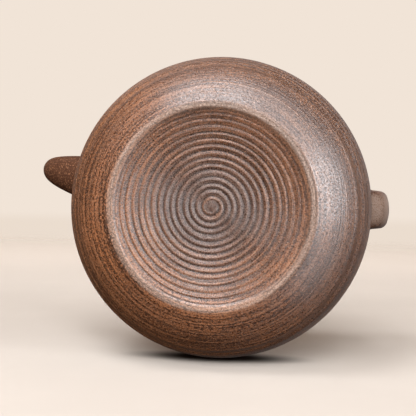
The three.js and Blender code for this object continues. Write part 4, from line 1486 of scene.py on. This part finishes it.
class TEAPOT_OT_knob(Operator):
    """Turn the knob on top of the lid"""

    bl_idname = "teapot.knob"
    bl_label = "Lid knob"

    def execute(self, context):
        lid = sizes("lid_sizes")
        lean = math.acos(lid.knob_waist / lid.knob_radius)
        start = lid.seat + lid.edge + lid.rise + 0.0003 + lid.knob_rise
        half = lid.knob_height / 2
        middle = start + half * math.sin(lean)
        foot = lid.knob_foot + 0.0007
        low = dome_at(lid, foot) - 0.0002
        seat = [(foot * s, dome_at(lid, foot * s) - 0.0004) for s in (0, 0.5, 0.9)]
        waist = quadratic((foot, low), (lid.knob_waist - 0.0005, low + 0.0006), (lid.knob_waist, start), 12)
        ball = arc((0, middle), (lid.knob_radius, half), -math.degrees(lean), 90, 60)
        piece = turn("turned_knob", [*seat, (foot, low), *waist, *ball[1:]], 128)
        carry_to_axis(piece)
        material = stoneware("Stoneware knob", tint=0.45, lines=0.35, spacing=0.0007)
        finish_piece(piece, "lid_assembly", ["lid_knob"], material)
        return {"FINISHED"}


class TEAPOT_PT_panel(Panel):
    """Lists the steps that model the teapot"""

    bl_label = "Teapot"
    bl_idname = "TEAPOT_PT_panel"
    bl_space_type = "VIEW_3D"
    bl_region_type = "UI"
    bl_category = "Teapot"

    def draw(self, context):
        for operator in OPERATORS:
            self.layout.operator(operator.bl_idname)


OPERATORS = [
    TEAPOT_OT_effects,
    TEAPOT_OT_stage,
    TEAPOT_OT_body,
    TEAPOT_OT_spout,
    TEAPOT_OT_strainer,
    TEAPOT_OT_handle,
    TEAPOT_OT_ears,
    TEAPOT_OT_pin,
    TEAPOT_OT_lid,
    TEAPOT_OT_flange,
    TEAPOT_OT_tongue,
    TEAPOT_OT_knob,
]


def register():
    for name, group in GROUPS.items():
        bpy.utils.register_class(group)
        setattr(bpy.types.Scene, name, PointerProperty(type=group))
    for shown in (*OPERATORS, TEAPOT_PT_panel):
        bpy.utils.register_class(shown)


def unregister():
    for shown in reversed((*OPERATORS, TEAPOT_PT_panel)):
        bpy.utils.unregister_class(shown)
    for name, group in reversed(GROUPS.items()):
        delattr(bpy.types.Scene, name)
        bpy.utils.unregister_class(group)


def main():
    register()
    bpy.ops.teapot.effects()
    bpy.ops.teapot.stage()
    bpy.ops.teapot.body()
    bpy.ops.teapot.spout()
    bpy.ops.teapot.strainer()
    bpy.ops.teapot.handle()
    bpy.ops.teapot.ears()
    bpy.ops.teapot.pin()
    bpy.ops.teapot.lid()
    bpy.ops.teapot.flange()
    bpy.ops.teapot.tongue()
    bpy.ops.teapot.knob()


if __name__ == "__main__":
    main()
